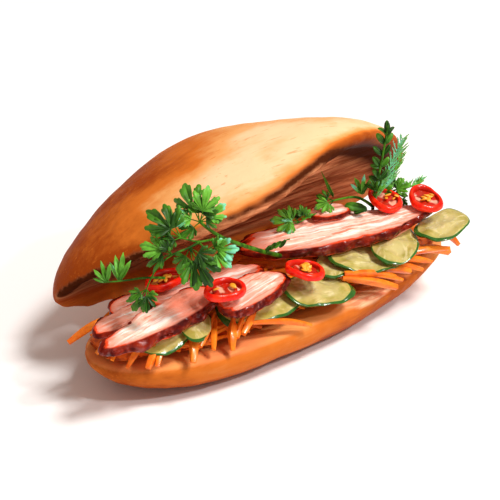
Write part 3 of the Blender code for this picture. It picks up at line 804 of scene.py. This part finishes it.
class BANHMI_OT_pork(bpy.types.Operator):
    """Slices the roast pork, with fibres along each slice and a glazed outside"""

    bl_idname = "banhmi.pork"
    bl_label = "Pork"

    def execute(self, context):
        settings = context.scene.banhmi_filling
        finish = roast_pork(settings)
        for number, (node, (turn, lean_left, lean_right)) in enumerate(PORK_SLICES.items()):
            piece = copied(node, f"{node}_slice")
            applied(piece, "SUBSURF", levels=2, render_levels=2)
            applied(piece, "REMESH", mode="VOXEL", voxel_size=settings.pork_grain)
            applied(piece, "SMOOTH", factor=0.5, iterations=3)
            own_patterns(piece, turn, number)
            middle, half_length, _, along, _ = own_frame(piece, turn)

            def lean(point, normal):
                right = ramp((point - middle).dot(along) / half_length, -0.25, 0.55)
                return lean_left + (lean_right - lean_left) * right

            painted(piece, "lean", lean)
            painted(piece, "rim", lambda point, normal: ramp(abs(normal.z), 0.9, 0.3))
            displaced(piece, clouds("ragged", 0.011, 1), 0.0050, "rim")
            displaced(piece, clouds("nicks", 0.0075, 0), 0.0014, "rim")
            guide = grain_guide(turn, (0.022, 0.0035, 0.0035))
            displaced(piece, clouds("fibres", 1.0, 2), 0.0015, "", guide)
            bpy.data.objects.remove(guide)
            displaced(piece, clouds("lumps", 0.009), 0.0020)
            piece.data.materials.append(finish)
            only(piece)
            bpy.ops.object.shade_smooth()
            finish_piece(piece, "pork", node)
        return {"FINISHED"}


def top_sheet(piece):
    """Keeps only the upper face of a slice."""
    only(piece)
    bpy.ops.object.mode_set(mode="EDIT")
    bpy.ops.mesh.select_mode(type="FACE")
    bpy.ops.mesh.select_all(action="DESELECT")
    bpy.ops.object.mode_set(mode="OBJECT")
    for face in piece.data.polygons:
        face.select = face.normal.z < 0.45
    bpy.ops.object.mode_set(mode="EDIT")
    bpy.ops.mesh.delete(type="FACE")
    bpy.ops.object.mode_set(mode="OBJECT")


class BANHMI_OT_cucumber(bpy.types.Operator):
    """Slices the cucumber thinly, each slice a little wavy"""

    bl_idname = "banhmi.cucumber"
    bl_label = "Cucumber"

    def execute(self, context):
        settings = context.scene.banhmi_filling
        finish = cucumber_flesh(settings)
        for number, (node, turn) in enumerate(CUCUMBER_TURNS.items()):
            piece = copied(node, f"{node}_slice")
            top_sheet(piece)
            applied(piece, "SUBSURF", levels=4, render_levels=4)
            own_patterns(piece, turn, number)
            displaced(piece, clouds("waves", 0.013, 1), settings.cucumber_wave, direction="Z")
            displaced(piece, clouds("wet_ridges", 0.0045, 1), 0.0005, direction="Z")
            applied(piece, "SOLIDIFY", thickness=settings.cucumber_thickness, offset=-1.0)
            applied(piece, "BEVEL", width=0.0003, segments=2, angle_limit=math.radians(50))
            piece.data.materials.append(finish)
            only(piece)
            bpy.ops.object.shade_smooth()
            finish_piece(piece, "cucumber", node)
        return {"FINISHED"}


def lying_plane(points):
    """The middle of some points, and how steeply they rise along X and along Y."""
    middle = sum(points, Vector()) / len(points)
    xx = xy = yy = xz = yz = 0.0
    for point in points:
        off = point - middle
        xx, xy, yy = xx + off.x * off.x, xy + off.x * off.y, yy + off.y * off.y
        xz, yz = xz + off.x * off.z, yz + off.y * off.z
    spread = xx * yy - xy * xy
    return middle, (xz * yy - yz * xy) / spread, (yz * xx - xz * xy) / spread


def ring_face(node, lift):
    """A ring's middle, its outer half width, and its upright direction, for a plane part of the way up it."""
    middle, rise_x, rise_y = lying_plane([v.co for v in frame["nodes"][node].data.vertices])
    low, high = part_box(node)
    upright = Vector((-rise_x, -rise_y, 1.0)).normalized()
    reach = min(high.x - low.x, high.y - low.y) / 2
    return middle + upright * lift, reach, upright


def chili_flesh_of(node):
    """The wet flesh across a ring, its dark red partly painted shade: a thin uneven skin, lowest in its middle."""
    settings = bpy.context.scene.banhmi_filling
    middle, reach, upright = ring_face(node, -0.0004)
    radius = reach - settings.chili_wall * 0.6
    bpy.ops.mesh.primitive_circle_add(vertices=28, radius=radius, fill_type="TRIFAN", location=middle)
    piece = bpy.context.object
    piece.rotation_euler = upright.to_track_quat("Z", "Y").to_euler()
    bpy.ops.object.transform_apply(location=True, rotation=True, scale=True)
    applied(piece, "SUBSURF", levels=3, render_levels=3, subdivision_type="SIMPLE")
    displaced(piece, clouds("chili_folds", 0.0022, 2), 0.0012, direction="Z")
    applied(piece, "SOLIDIFY", thickness=0.0004, offset=0.0)
    return piece


def one_seed():
    """A flat chili seed, drawn in to a blunt point at one end."""
    bpy.ops.object.select_all(action="DESELECT")
    bpy.ops.mesh.primitive_uv_sphere_add(segments=14, ring_count=8, radius=1.0)
    seed = bpy.context.object
    for v in seed.data.vertices:
        narrow = 1 - 0.45 * ramp(v.co.x, 0.0, 1.0)
        v.co = (v.co.x * 0.0019, v.co.y * 0.0012 * narrow, v.co.z * 0.00055 + 0.0001 * v.co.y * v.co.y)
    return seed


def chili_seeds_of(node, model, dice):
    """A loose cluster of seeds lying in a ring."""
    count, off_x, off_y = CHILI_SEEDS[node]
    middle, _, upright = ring_face(node, 0.0007)
    lay = upright.to_track_quat("Z", "Y")
    seeds = []
    for i in range(count):
        angle = 2 * math.pi * i / count + dice.uniform(-0.7, 0.7)
        out = dice.uniform(0.15, 1.0)
        place = Vector((math.cos(angle) * out * 0.0046, math.sin(angle) * out * 0.0026, dice.uniform(0.0, 0.0010)))
        only(model)
        bpy.ops.object.duplicate()
        seed = bpy.context.object
        seed.scale = [dice.uniform(0.8, 1.15)] * 3
        seed.rotation_euler = (dice.uniform(-0.6, 0.6), dice.uniform(-0.4, 0.4), dice.uniform(0.0, 2 * math.pi))
        seed.location = middle + Vector((off_x, off_y, 0.0)) + lay @ place
        seeds.append(seed)
    return seeds


def joined(pieces, name):
    """Several objects made into one, at the origin."""
    only(*pieces)
    bpy.ops.object.join()
    piece = bpy.context.object
    piece.name = piece.data.name = name
    bpy.ops.object.transform_apply(location=True, rotation=True, scale=True)
    bpy.ops.object.shade_smooth()
    return piece


class BANHMI_OT_chili(bpy.types.Operator):
    """Cuts the rings of chili, with wet flesh, partly painted shade, and seeds inside them"""

    bl_idname = "banhmi.chili"
    bl_label = "Chili"

    def execute(self, context):
        settings = context.scene.banhmi_filling
        finish = chili_skin(settings)
        dice = random.Random(settings.chili_dice)
        flesh, seeds, model = [], [], one_seed()
        for node in CHILI_SEEDS:
            piece = copied(node, f"{node}_ring")
            applied(piece, "SUBSURF", levels=2, render_levels=2)
            displaced(piece, clouds("chili_bends", 0.006, 1), 0.0007)
            middle = lying_plane([v.co for v in piece.data.vertices])[0]

            def inner(point, normal, middle=middle):
                off = Vector((middle.x - point.x, middle.y - point.y, 0.0)).normalized()
                return ramp(normal.dot(off), 0.35, 0.85)

            painted(piece, "inner", inner)
            piece.data.materials.append(finish)
            only(piece)
            bpy.ops.object.shade_smooth()
            finish_piece(piece, "chili", node)
            flesh.append(chili_flesh_of(node))
            seeds += chili_seeds_of(node, model, dice)
        flesh = joined(flesh, "chili_flesh_and_shade")
        flesh.data.materials.append(chili_wet_flesh(settings))
        bpy.data.objects.remove(model)
        seeds = joined(seeds, "chili_seeds")
        seeds.data.materials.append(
            plain_food("chili_seeds", settings.chili_seed, settings.chili_seed_pale, 500.0, 0.3, 1.0, 0.4)
        )
        for piece in (flesh, seeds):
            finish_piece(piece, "chili")
        return {"FINISHED"}


def strips(name, routes, thickness, tilt_seed, fineness):
    """Square strips along a list of routes, as one mesh with softened corners."""
    dice = random.Random(tilt_seed)
    curve = bpy.data.curves.new(name, "CURVE")
    curve.dimensions = "3D"
    curve.bevel_depth = thickness * 0.62
    curve.bevel_resolution = 0
    curve.use_fill_caps = True
    curve.resolution_u = fineness
    for route in routes:
        spline = curve.splines.new("NURBS")
        spline.points.add(len(route) - 1)
        spline.use_endpoint_u = True
        spline.order_u = 3
        size = dice.uniform(0.75, 1.1)
        tilt = dice.uniform(0, math.pi / 2)
        last = len(route) - 1
        for i, point in enumerate(route):
            spline.points[i].co = (*point, 1.0)
            spline.points[i].radius = size * (dice.uniform(0.45, 0.8) if i in (0, last) else 1.0)
            spline.points[i].tilt = tilt + 0.2 * i
    piece = bpy.data.objects.new(name, curve)
    bpy.context.collection.objects.link(piece)
    only(piece)
    bpy.ops.object.convert(target="MESH")
    piece = bpy.context.object
    applied(piece, "BEVEL", width=thickness * 0.14, segments=fineness - 1, limit_method="ANGLE", angle_limit=math.radians(50))
    only(piece)
    bpy.ops.object.shade_smooth_by_angle(angle=math.radians(35))
    return piece


def bed_routes(settings):
    """Routes of strips over the heap: each lies on its top, turned any way, with its ends let down a little."""
    bed = frame["nodes"]["carrot_bed"].data
    tree = BVHTree.FromPolygons([v.co for v in bed.vertices], [tuple(p.vertices) for p in bed.polygons])
    down = Vector((0, 0, -1))

    def top(x, y):
        hit = tree.ray_cast(Vector((x, y, 0.2)), down)[0]
        return hit.z if hit else None

    low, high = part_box("carrot_bed")
    dice = random.Random(settings.carrot_seed)
    routes = []
    while len(routes) < settings.carrot_count:
        x = dice.uniform(low.x + 0.006, high.x - 0.006)
        y = dice.uniform(low.y + 0.003, high.y - 0.004)
        turn = dice.gauss(-0.35, 0.7)
        length = dice.uniform(0.025, 0.055)
        curl = dice.uniform(-14, 14)
        route = []
        for i in range(4):
            off = (i / 3 - 0.5) * length
            heading = turn + curl * off
            px, py = x + off * math.cos(heading), y + off * math.sin(heading)
            z = top(px, py)
            if z is None:
                continue
            route.append((px, py, z - settings.carrot_sink - 0.0006 * (i in (0, 3))))
        if len(route) >= 3:
            routes.append(route)
    return routes


class BANHMI_OT_carrots(bpy.types.Operator):
    """Heaps the carrot strips, over a smaller core that fills the heap's inside"""

    bl_idname = "banhmi.carrots"
    bl_label = "Carrot strips"

    def execute(self, context):
        settings = context.scene.banhmi_filling
        core = copied("carrot_bed", "carrot_core")
        applied(core, "SUBSURF", levels=1, render_levels=1)
        applied(core, "DISPLACE", strength=-0.0022, mid_level=0.0)
        dark = plain_food("carrot_shade", settings.carrot_deep, settings.carrot_dark, 300.0, 0.5)
        core.data.materials.append(dark)
        finish_piece(core, "carrot", "carrot_bed")
        finish = plain_food(
            "carrot",
            settings.carrot,
            settings.carrot_deep,
            180.0,
            0.3,
            Subsurface_Weight=0.1,
            Subsurface_Scale=0.002,
            Coat_Weight=0.2,
            Coat_Roughness=0.1,
        )
        heap = strips("carrot_strips", bed_routes(settings), settings.carrot_thickness, 5, 2)
        shown = strips("carrot_ends", SHOWN_STRIPS, settings.carrot_thickness * 1.45, 6, 3)
        for piece in (heap, shown):
            piece.data.materials.append(finish)
            finish_piece(piece, "carrot")
        return {"FINISHED"}


def leaf_edge(kind, angle):
    """How far from its base a leaflet of length 1 reaches at an angle off its middle: to its farthest tooth."""
    teeth, width = LEAFLETS[kind]
    if not teeth:
        return math.cos(angle) / (math.cos(angle) ** 2 + math.sin(angle) ** 2 / width**2)
    reach = 0.16
    for degrees, out, radius in teeth:
        off = angle - math.radians(degrees)
        beside = out * math.sin(off)
        if abs(beside) < radius and math.cos(off) > 0:
            reach = max(reach, out * math.cos(off) + math.sqrt(radius * radius - beside * beside))
    return reach


def vein_at(kind, angle):
    """How close an angle is to the middle of a lobe."""
    return max(math.exp(-(((math.degrees(angle) - middle) / 4.0) ** 2)) for middle in (-46, 0, 46))


def leaflet(base, aim, face, length, kind, tone, dice):
    """One leaflet: a fine grid drawn out from its base to its edge, folded along its veins and curled."""
    columns = LEAF_COLUMNS if LEAFLETS[kind][0] else LEAF_COLUMNS // 3
    bpy.ops.mesh.primitive_grid_add(x_subdivisions=columns, y_subdivisions=4, size=2.0)
    leaf = bpy.context.object
    side = face.cross(aim).normalized()
    face = aim.cross(side).normalized()
    round_to = math.radians(LEAF_SPREAD_DEG)
    curl = dice.uniform(-0.35, 0.15)
    cup = dice.uniform(0.05, 0.30)
    wave = dice.uniform(0, 6.28)
    veins, shares = [], []
    for v in leaf.data.vertices:
        angle, share = v.co.x * round_to, (v.co.y + 1) / 2
        reach = leaf_edge(kind, angle) * share
        ripple = 0.07 * share * share * math.sin(8 * angle + wave)
        lift = curl * reach * reach + cup * abs(math.sin(angle)) * reach - 0.05 * vein_at(kind, angle) * share + ripple
        veins.append(vein_at(kind, angle))
        shares.append(reach)
        v.co = base + length * (aim * reach * math.cos(angle) + side * reach * math.sin(angle) + face * lift)
    for name, values in (("vein", veins), ("tone", [tone] * len(veins)), ("out", shares)):
        leaf.data.attributes.new(name, "FLOAT", "POINT").data.foreach_set("value", values)
    return leaf


def herb_leaf(base, kind, pale, leaflets, dice, twigs):
    """The leaflets that spread from the end of a stalk, each given its turn in the herbs' plane and its reach.

    A cut leaflet sits on a short stalk of its own, which is added to the twigs.
    """
    made = []
    for turn, reach in leaflets:
        angle = math.radians(turn)
        tip = dice.uniform(-0.25, 0.35)
        aim = (TO_RIGHT * math.cos(angle) + TO_TOP * math.sin(angle) + TO_FRONT * tip).normalized()
        face = (TO_FRONT + TO_RIGHT * dice.uniform(-0.5, 0.5) + TO_TOP * dice.uniform(-0.2, 0.7)).normalized()
        bare = BARE_SHARE * reach if kind == "cut" else 0.0
        start = Vector(base) + aim * bare
        if bare:
            twigs.append(((base, start - aim * bare * 0.4 + TO_TOP * 0.0002, start + aim * 0.0008), TWIG))
        made.append(leaflet(start, aim, face, reach - bare, kind, pale + dice.uniform(-0.30, 0.30), dice))
    return made


def threads(name, routes, resolution=2):
    """Round stalks or threads along routes, each as (points, thickness at its start, thickness at its end)."""
    curve = bpy.data.curves.new(name, "CURVE")
    curve.dimensions = "3D"
    curve.bevel_depth = 0.5
    curve.bevel_resolution = resolution
    curve.use_fill_caps = True
    curve.resolution_u = 5
    for points, start, end in routes:
        spline = curve.splines.new("NURBS")
        spline.points.add(len(points) - 1)
        spline.use_endpoint_u = True
        spline.order_u = 3
        for i, point in enumerate(points):
            spline.points[i].co = (*point, 1.0)
            spline.points[i].radius = start + (end - start) * i / (len(points) - 1)
    piece = bpy.data.objects.new(name, curve)
    bpy.context.collection.objects.link(piece)
    only(piece)
    bpy.ops.object.convert(target="MESH")
    piece = bpy.context.object
    bpy.ops.object.shade_smooth()
    return piece


def along_route(route, share):
    """A point part of the way along a route of points."""
    at = share * (len(route) - 1)
    i = min(int(at), len(route) - 2)
    return Vector(route[i]).lerp(Vector(route[i + 1]), at - i)


def dill_threads(dice):
    """The threads of the dill: pairs that spread from each frond's stalk and fork."""
    routes = []
    for route, length in DILL_FRONDS:
        routes.append((route, 0.0012, 0.0006))
        ahead = (Vector(route[-1]) - Vector(route[0])).normalized()
        for i in range(16):
            start = along_route(route, 0.15 + 0.85 * i / 15)
            for sense in (-1, 1):
                out = TO_RIGHT * sense * dice.uniform(0.5, 0.9) + ahead * dice.uniform(0.7, 1.1)
                out = (out + TO_FRONT * dice.uniform(-0.4, 0.6)).normalized()
                reach = length * dice.uniform(0.7, 1.1) * (1 - 0.4 * i / 15)
                bend = ahead * reach * 0.3
                middle, end = start + out * reach * 0.5, start + out * reach + bend
                routes.append(((start, middle, end), 0.00075, 0.0004))
                fork = middle + (out + ahead * 0.8 - TO_RIGHT * sense * 0.3).normalized() * reach * 0.45
                routes.append(((middle, middle.lerp(fork, 0.5), fork), 0.0006, 0.00035))
    return routes


class BANHMI_OT_herbs(bpy.types.Operator):
    """Tucks in the herbs: leaves, stalks and fronds of dill"""

    bl_idname = "banhmi.herbs"
    bl_label = "Herbs"

    def execute(self, context):
        settings = context.scene.banhmi_herbs
        dice = random.Random(settings.seed)
        leaves, twigs = [], []
        for base, kind, pale, leaflets in HERB_LEAVES:
            leaves += herb_leaf(base, kind, pale, leaflets, dice, twigs)
        frond, thick = HERB_STALKS[-1]
        for i in range(SPRIG_LEAFLETS):
            start = along_route(frond, 0.15 + 0.8 * i / SPRIG_LEAFLETS)
            leaves += herb_leaf(start, "oval", 0.0, ((225, 0.0048),), dice, twigs)
        leaf = joined(leaves, "herb_leaves")
        applied(leaf, "SOLIDIFY", thickness=0.00025, offset=0.0)
        only(leaf)
        bpy.ops.object.shade_smooth()
        leaf.data.materials.append(herb_leaf_finish(settings))
        stalks = threads("herb_stalks", [(points, thick, thick * 0.5) for points, thick in (*HERB_STALKS, *twigs)], 3)
        stalks.data.materials.append(plain_food("herb_stalk", settings.leaf, settings.leaf_dark, 220.0, 0.45, shine=0.08))
        dill = threads("dill_fronds", dill_threads(dice), 1)
        dill.data.materials.append(plain_food("dill", settings.mint_and_highlight, settings.leaf_light, 160.0, 0.35))
        for piece in (leaf, stalks, dill):
            finish_piece(piece, "herb")
        return {"FINISHED"}


def towards(place):
    """The turn of a light that shines from a place onto the sandwich."""
    return (Vector((0.0, 0.0, 0.04)) - Vector(place)).to_track_quat("-Z", "Y").to_euler()


class BANHMI_OT_stage(bpy.types.Operator):
    """Sets the pale table, the soft light and the camera"""

    bl_idname = "banhmi.stage"
    bl_label = "Stage"

    def execute(self, context):
        settings = context.scene.banhmi_stage
        bpy.ops.object.select_all(action="DESELECT")
        bpy.ops.mesh.primitive_plane_add(size=6.0)
        table = context.object
        table.name = "table"
        material, tree, shader = new_material("table", 0.6)
        shader.inputs["Base Color"].default_value = (*settings.table, 1.0)
        table.data.materials.append(material)
        context.scene.view_settings.view_transform = "Standard"
        world = bpy.data.worlds.new("studio")
        context.scene.world = world
        world.use_nodes = True
        back = world.node_tree.nodes["Background"]
        back.inputs["Color"].default_value = (1.0, 0.80, 0.70, 1.0)
        back.inputs["Strength"].default_value = settings.fill
        bpy.ops.object.light_add(type="SUN", rotation=towards(KEY_FROM))
        key = context.object
        key.name = "key"
        key.data.energy = settings.key
        key.data.angle = math.radians(KEY_SOFTNESS_DEG)
        key.data.color = (1.0, 0.985, 0.96)
        bpy.ops.object.light_add(type="AREA", location=GLINT_FROM, rotation=towards(GLINT_FROM))
        glint = context.object
        glint.name = "glint"
        glint.data.shape = "DISK"
        glint.data.size = GLINT_SIZE
        glint.data.energy = settings.glint
        side, up = math.radians(-35), math.radians(28)
        target = Vector((0.0, 0.020, 0.040))
        way = Vector((math.sin(side) * math.cos(up), -math.cos(side) * math.cos(up), math.sin(up)))
        bpy.ops.object.camera_add(location=target + way * 0.62, rotation=(-way).to_track_quat("-Z", "Y").to_euler())
        camera = context.object
        camera.data.lens = 88.0
        camera.data.shift_x = -0.02
        camera.data.shift_y = -0.015
        context.scene.camera = camera
        return {"FINISHED"}


def colour_setting(name, words, default):
    """A colour that a user may change."""
    return bpy.props.FloatVectorProperty(
        name=name, description=words, subtype="COLOR", size=3, min=0.0, max=1.0, default=default
    )


def length_setting(name, words, default, low=0.0001, high=0.02):
    """A length that a user may change."""
    return bpy.props.FloatProperty(
        name=name, description=words, default=default, min=low, max=high, unit="LENGTH", precision=5
    )


class BreadSettings(bpy.types.PropertyGroup):
    """Sizes and colours of the roll"""

    grain: length_setting("Grain", "Size of the mesh's cells", 0.0013)
    lip: length_setting("Lip", "From the lid's front edge to the fold under it", 0.0135)
    # The fold's width sets the width of its band of painted shade.
    fold: length_setting("Fold", "How wide the fold is", 0.0032)
    softness: bpy.props.IntProperty(name="Softness", description="How much the form is smoothed", default=10, min=0)
    crust_pale: colour_setting("Pale crust", "Crust that was least baked", (0.93, 0.585, 0.33))
    crust_gold: colour_setting("Golden crust", "Lightly baked crust", (0.80, 0.37, 0.12))
    crust_amber: colour_setting("Amber crust", "Most of the base", (0.64, 0.165, 0.020))
    # The brown crust also paints shade low on the base's sides.
    crust_brown: colour_setting("Brown crust", "Crust at the left end and low down", (0.33, 0.055, 0.005))
    crumb: colour_setting("Crumb", "The lid's torn face", (0.80, 0.315, 0.140))
    crumb_pale: colour_setting("Pale crumb", "Its raised streaks", (0.94, 0.50, 0.29))
    crumb_dark: colour_setting("Dark crumb", "Sauce soaked into it", (0.36, 0.095, 0.034))
    base_crumb: colour_setting("Base crumb", "The base's cut face", (0.90, 0.36, 0.105))
    base_crumb_red: colour_setting("Stained base crumb", "Redder parts of it", (0.74, 0.23, 0.08))
    sauce: colour_setting("Sauce", "Sauce smeared on the base's rim", (0.98, 0.62, 0.36))
    sauce_red: colour_setting("Red sauce", "Redder parts of it", (0.90, 0.24, 0.12))
    # The colour of the painted shade in the fold under the lid's lip.
    fold_shade: colour_setting("Crease", "The fold under the lid's lip", (0.065, 0.013, 0.003))


class FillingSettings(bpy.types.PropertyGroup):
    """Sizes and colours of the filling"""

    pork_grain: length_setting("Pork grain", "Size of the pork's mesh cells", 0.0008)
    pork_pale: colour_setting("Pale pork", "The middle of a cut face", (1.0, 0.68, 0.54))
    pork_pink: colour_setting("Pink pork", "Pinker parts of a cut face", (0.95, 0.40, 0.29))
    pork_fibre: colour_setting("Fibres", "Pale fibres", (1.0, 0.90, 0.82))
    pork_streak: colour_setting("Streaks", "Dark lines between bundles of fibre", (0.60, 0.13, 0.06))
    pork_edge: colour_setting("Pork edge", "Pink meat near the glaze", (0.80, 0.22, 0.13))
    pork_line: colour_setting("Red line", "Line between meat and glaze", (0.86, 0.07, 0.015))
    glaze_dark: colour_setting("Dark glaze", "The glaze", (0.070, 0.002, 0.001))
    glaze_red: colour_setting("Red glaze", "Thinner glaze", (0.27, 0.017, 0.005))
    glaze_bright: colour_setting("Bright glaze", "The thinnest glaze", (0.58, 0.090, 0.028))
    cucumber_flesh: colour_setting("Cucumber flesh", "The flesh", (0.55, 0.455, 0.140))
    cucumber_deep: colour_setting("Deep flesh", "Wetter flesh", (0.40, 0.340, 0.065))
    # The core's colour also paints the streaks of sheen over the flesh.
    cucumber_core_and_sheen: colour_setting("Core", "The seed core", (0.74, 0.65, 0.31))
    cucumber_seed: colour_setting("Cucumber seeds", "The seeds", (0.90, 0.82, 0.50))
    cucumber_under_skin: colour_setting("Under the skin", "Greener flesh", (0.42, 0.47, 0.10))
    cucumber_skin: colour_setting("Skin", "The skin", (0.010, 0.070, 0.006))
    # Painted sheen on the skin.
    cucumber_skin_sheen: colour_setting("Light skin", "Paler skin", (0.035, 0.17, 0.015))
    chili_red: colour_setting("Chili", "The skin", (0.90, 0.007, 0.002))
    chili_bright: colour_setting("Bright chili", "Brighter skin", (1.0, 0.035, 0.006))
    # Painted shade on a ring's inner wall, also mixed into the flesh across it.
    chili_inner_shade: colour_setting("Chili wall", "The wet wall inside", (0.55, 0.010, 0.003))
    # Dark red, partly painted shade of the ring's hollow.
    chili_flesh_and_shade: colour_setting("Chili flesh", "The wet flesh across a ring", (0.42, 0.022, 0.006))
    chili_membrane: colour_setting("Chili membrane", "Pale skin inside a ring", (0.95, 0.50, 0.34))
    chili_seed: colour_setting("Chili seeds", "The seeds", (0.98, 0.36, 0.020))
    chili_seed_pale: colour_setting("Pale chili seeds", "Their paler sides", (1.0, 0.46, 0.045))
    cucumber_thickness: length_setting("Cucumber thickness", "How thick a slice is", 0.0016)
    cucumber_wave: length_setting("Cucumber wave", "How far a slice waves up and down", 0.0042)
    chili_wall: length_setting("Chili wall thickness", "How thick a ring's wall is", 0.0034)
    chili_dice: bpy.props.IntProperty(name="Chili seed", description="Scatters the chili's seeds another way", default=2)
    carrot: colour_setting("Carrot", "The strips", (0.96, 0.25, 0.013))
    carrot_deep: colour_setting("Deep carrot", "Darker parts of the strips", (0.80, 0.15, 0.008))
    carrot_dark: colour_setting("Carrot shade", "The inside of the heap", (0.36, 0.055, 0.006))
    carrot_thickness: length_setting("Strip thickness", "How thick a strip is", 0.0027)
    carrot_sink: length_setting("Strip sink", "How deep a strip lies in the heap", 0.0009, 0.0)
    carrot_count: bpy.props.IntProperty(name="Strips", description="How many strips cover the heap", default=260, min=10)
    carrot_seed: bpy.props.IntProperty(name="Strip seed", description="Lays the strips another way", default=3)


class HerbSettings(bpy.types.PropertyGroup):
    """Colours of the herbs"""

    leaf: colour_setting("Leaf", "Most of a leaf", (0.066, 0.230, 0.012))
    leaf_dark: colour_setting("Dark leaf", "A leaf's base and its shaded parts", (0.012, 0.056, 0.003))
    leaf_light: colour_setting("Light leaf", "Lit parts and veins", (0.150, 0.460, 0.040))
    # Painted highlight on the palest leaf tips, and the dill's own colour.
    mint_and_highlight: colour_setting("Pale leaf", "The palest tips and the dill", (0.20, 0.68, 0.42))
    seed: bpy.props.IntProperty(name="Herb seed", description="Curls the leaves another way", default=4)


class StageSettings(bpy.types.PropertyGroup):
    """The table and the light"""

    table: colour_setting("Table", "Colour of the table", (0.96, 0.955, 0.955))
    key: bpy.props.FloatProperty(name="Key", description="Strength of the main light", default=2.75, min=0.0)
    glint: bpy.props.FloatProperty(name="Glint", description="Small light for wet highlights", default=3.2, min=0.0)
    fill: bpy.props.FloatProperty(name="Fill", description="Light from all round", default=0.42, min=0.0)


STEPS = (
    BANHMI_OT_bread,
    BANHMI_OT_carrots,
    BANHMI_OT_cucumber,
    BANHMI_OT_pork,
    BANHMI_OT_chili,
    BANHMI_OT_herbs,
    BANHMI_OT_stage,
)


class BANHMI_PT_panel(bpy.types.Panel):
    """Lists the steps that make the sandwich"""

    bl_idname = "BANHMI_PT_panel"
    bl_label = "Banh Mi"
    bl_space_type = "VIEW_3D"
    bl_region_type = "UI"
    bl_category = "Banh Mi"

    def draw(self, context):
        for step in STEPS:
            self.layout.operator(step.bl_idname)


GROUPS = (
    ("banhmi_bread", BreadSettings),
    ("banhmi_filling", FillingSettings),
    ("banhmi_herbs", HerbSettings),
    ("banhmi_stage", StageSettings),
)


def register():
    """Adds the settings, the steps and the panel."""
    for name, kind in GROUPS:
        bpy.utils.register_class(kind)
        setattr(bpy.types.Scene, name, bpy.props.PointerProperty(type=kind))
    for kind in (*STEPS, BANHMI_PT_panel):
        bpy.utils.register_class(kind)


def unregister():
    """Takes them away again."""
    for kind in (BANHMI_PT_panel, *reversed(STEPS)):
        bpy.utils.unregister_class(kind)
    for name, kind in reversed(GROUPS):
        delattr(bpy.types.Scene, name)
        bpy.utils.unregister_class(kind)


def main():
    """Makes the sandwich step by step."""
    register()
    bpy.ops.banhmi.bread()
    bpy.ops.banhmi.carrots()
    bpy.ops.banhmi.cucumber()
    bpy.ops.banhmi.pork()
    bpy.ops.banhmi.chili()
    bpy.ops.banhmi.herbs()
    bpy.ops.banhmi.stage()


if __name__ == "__main__":
    main()
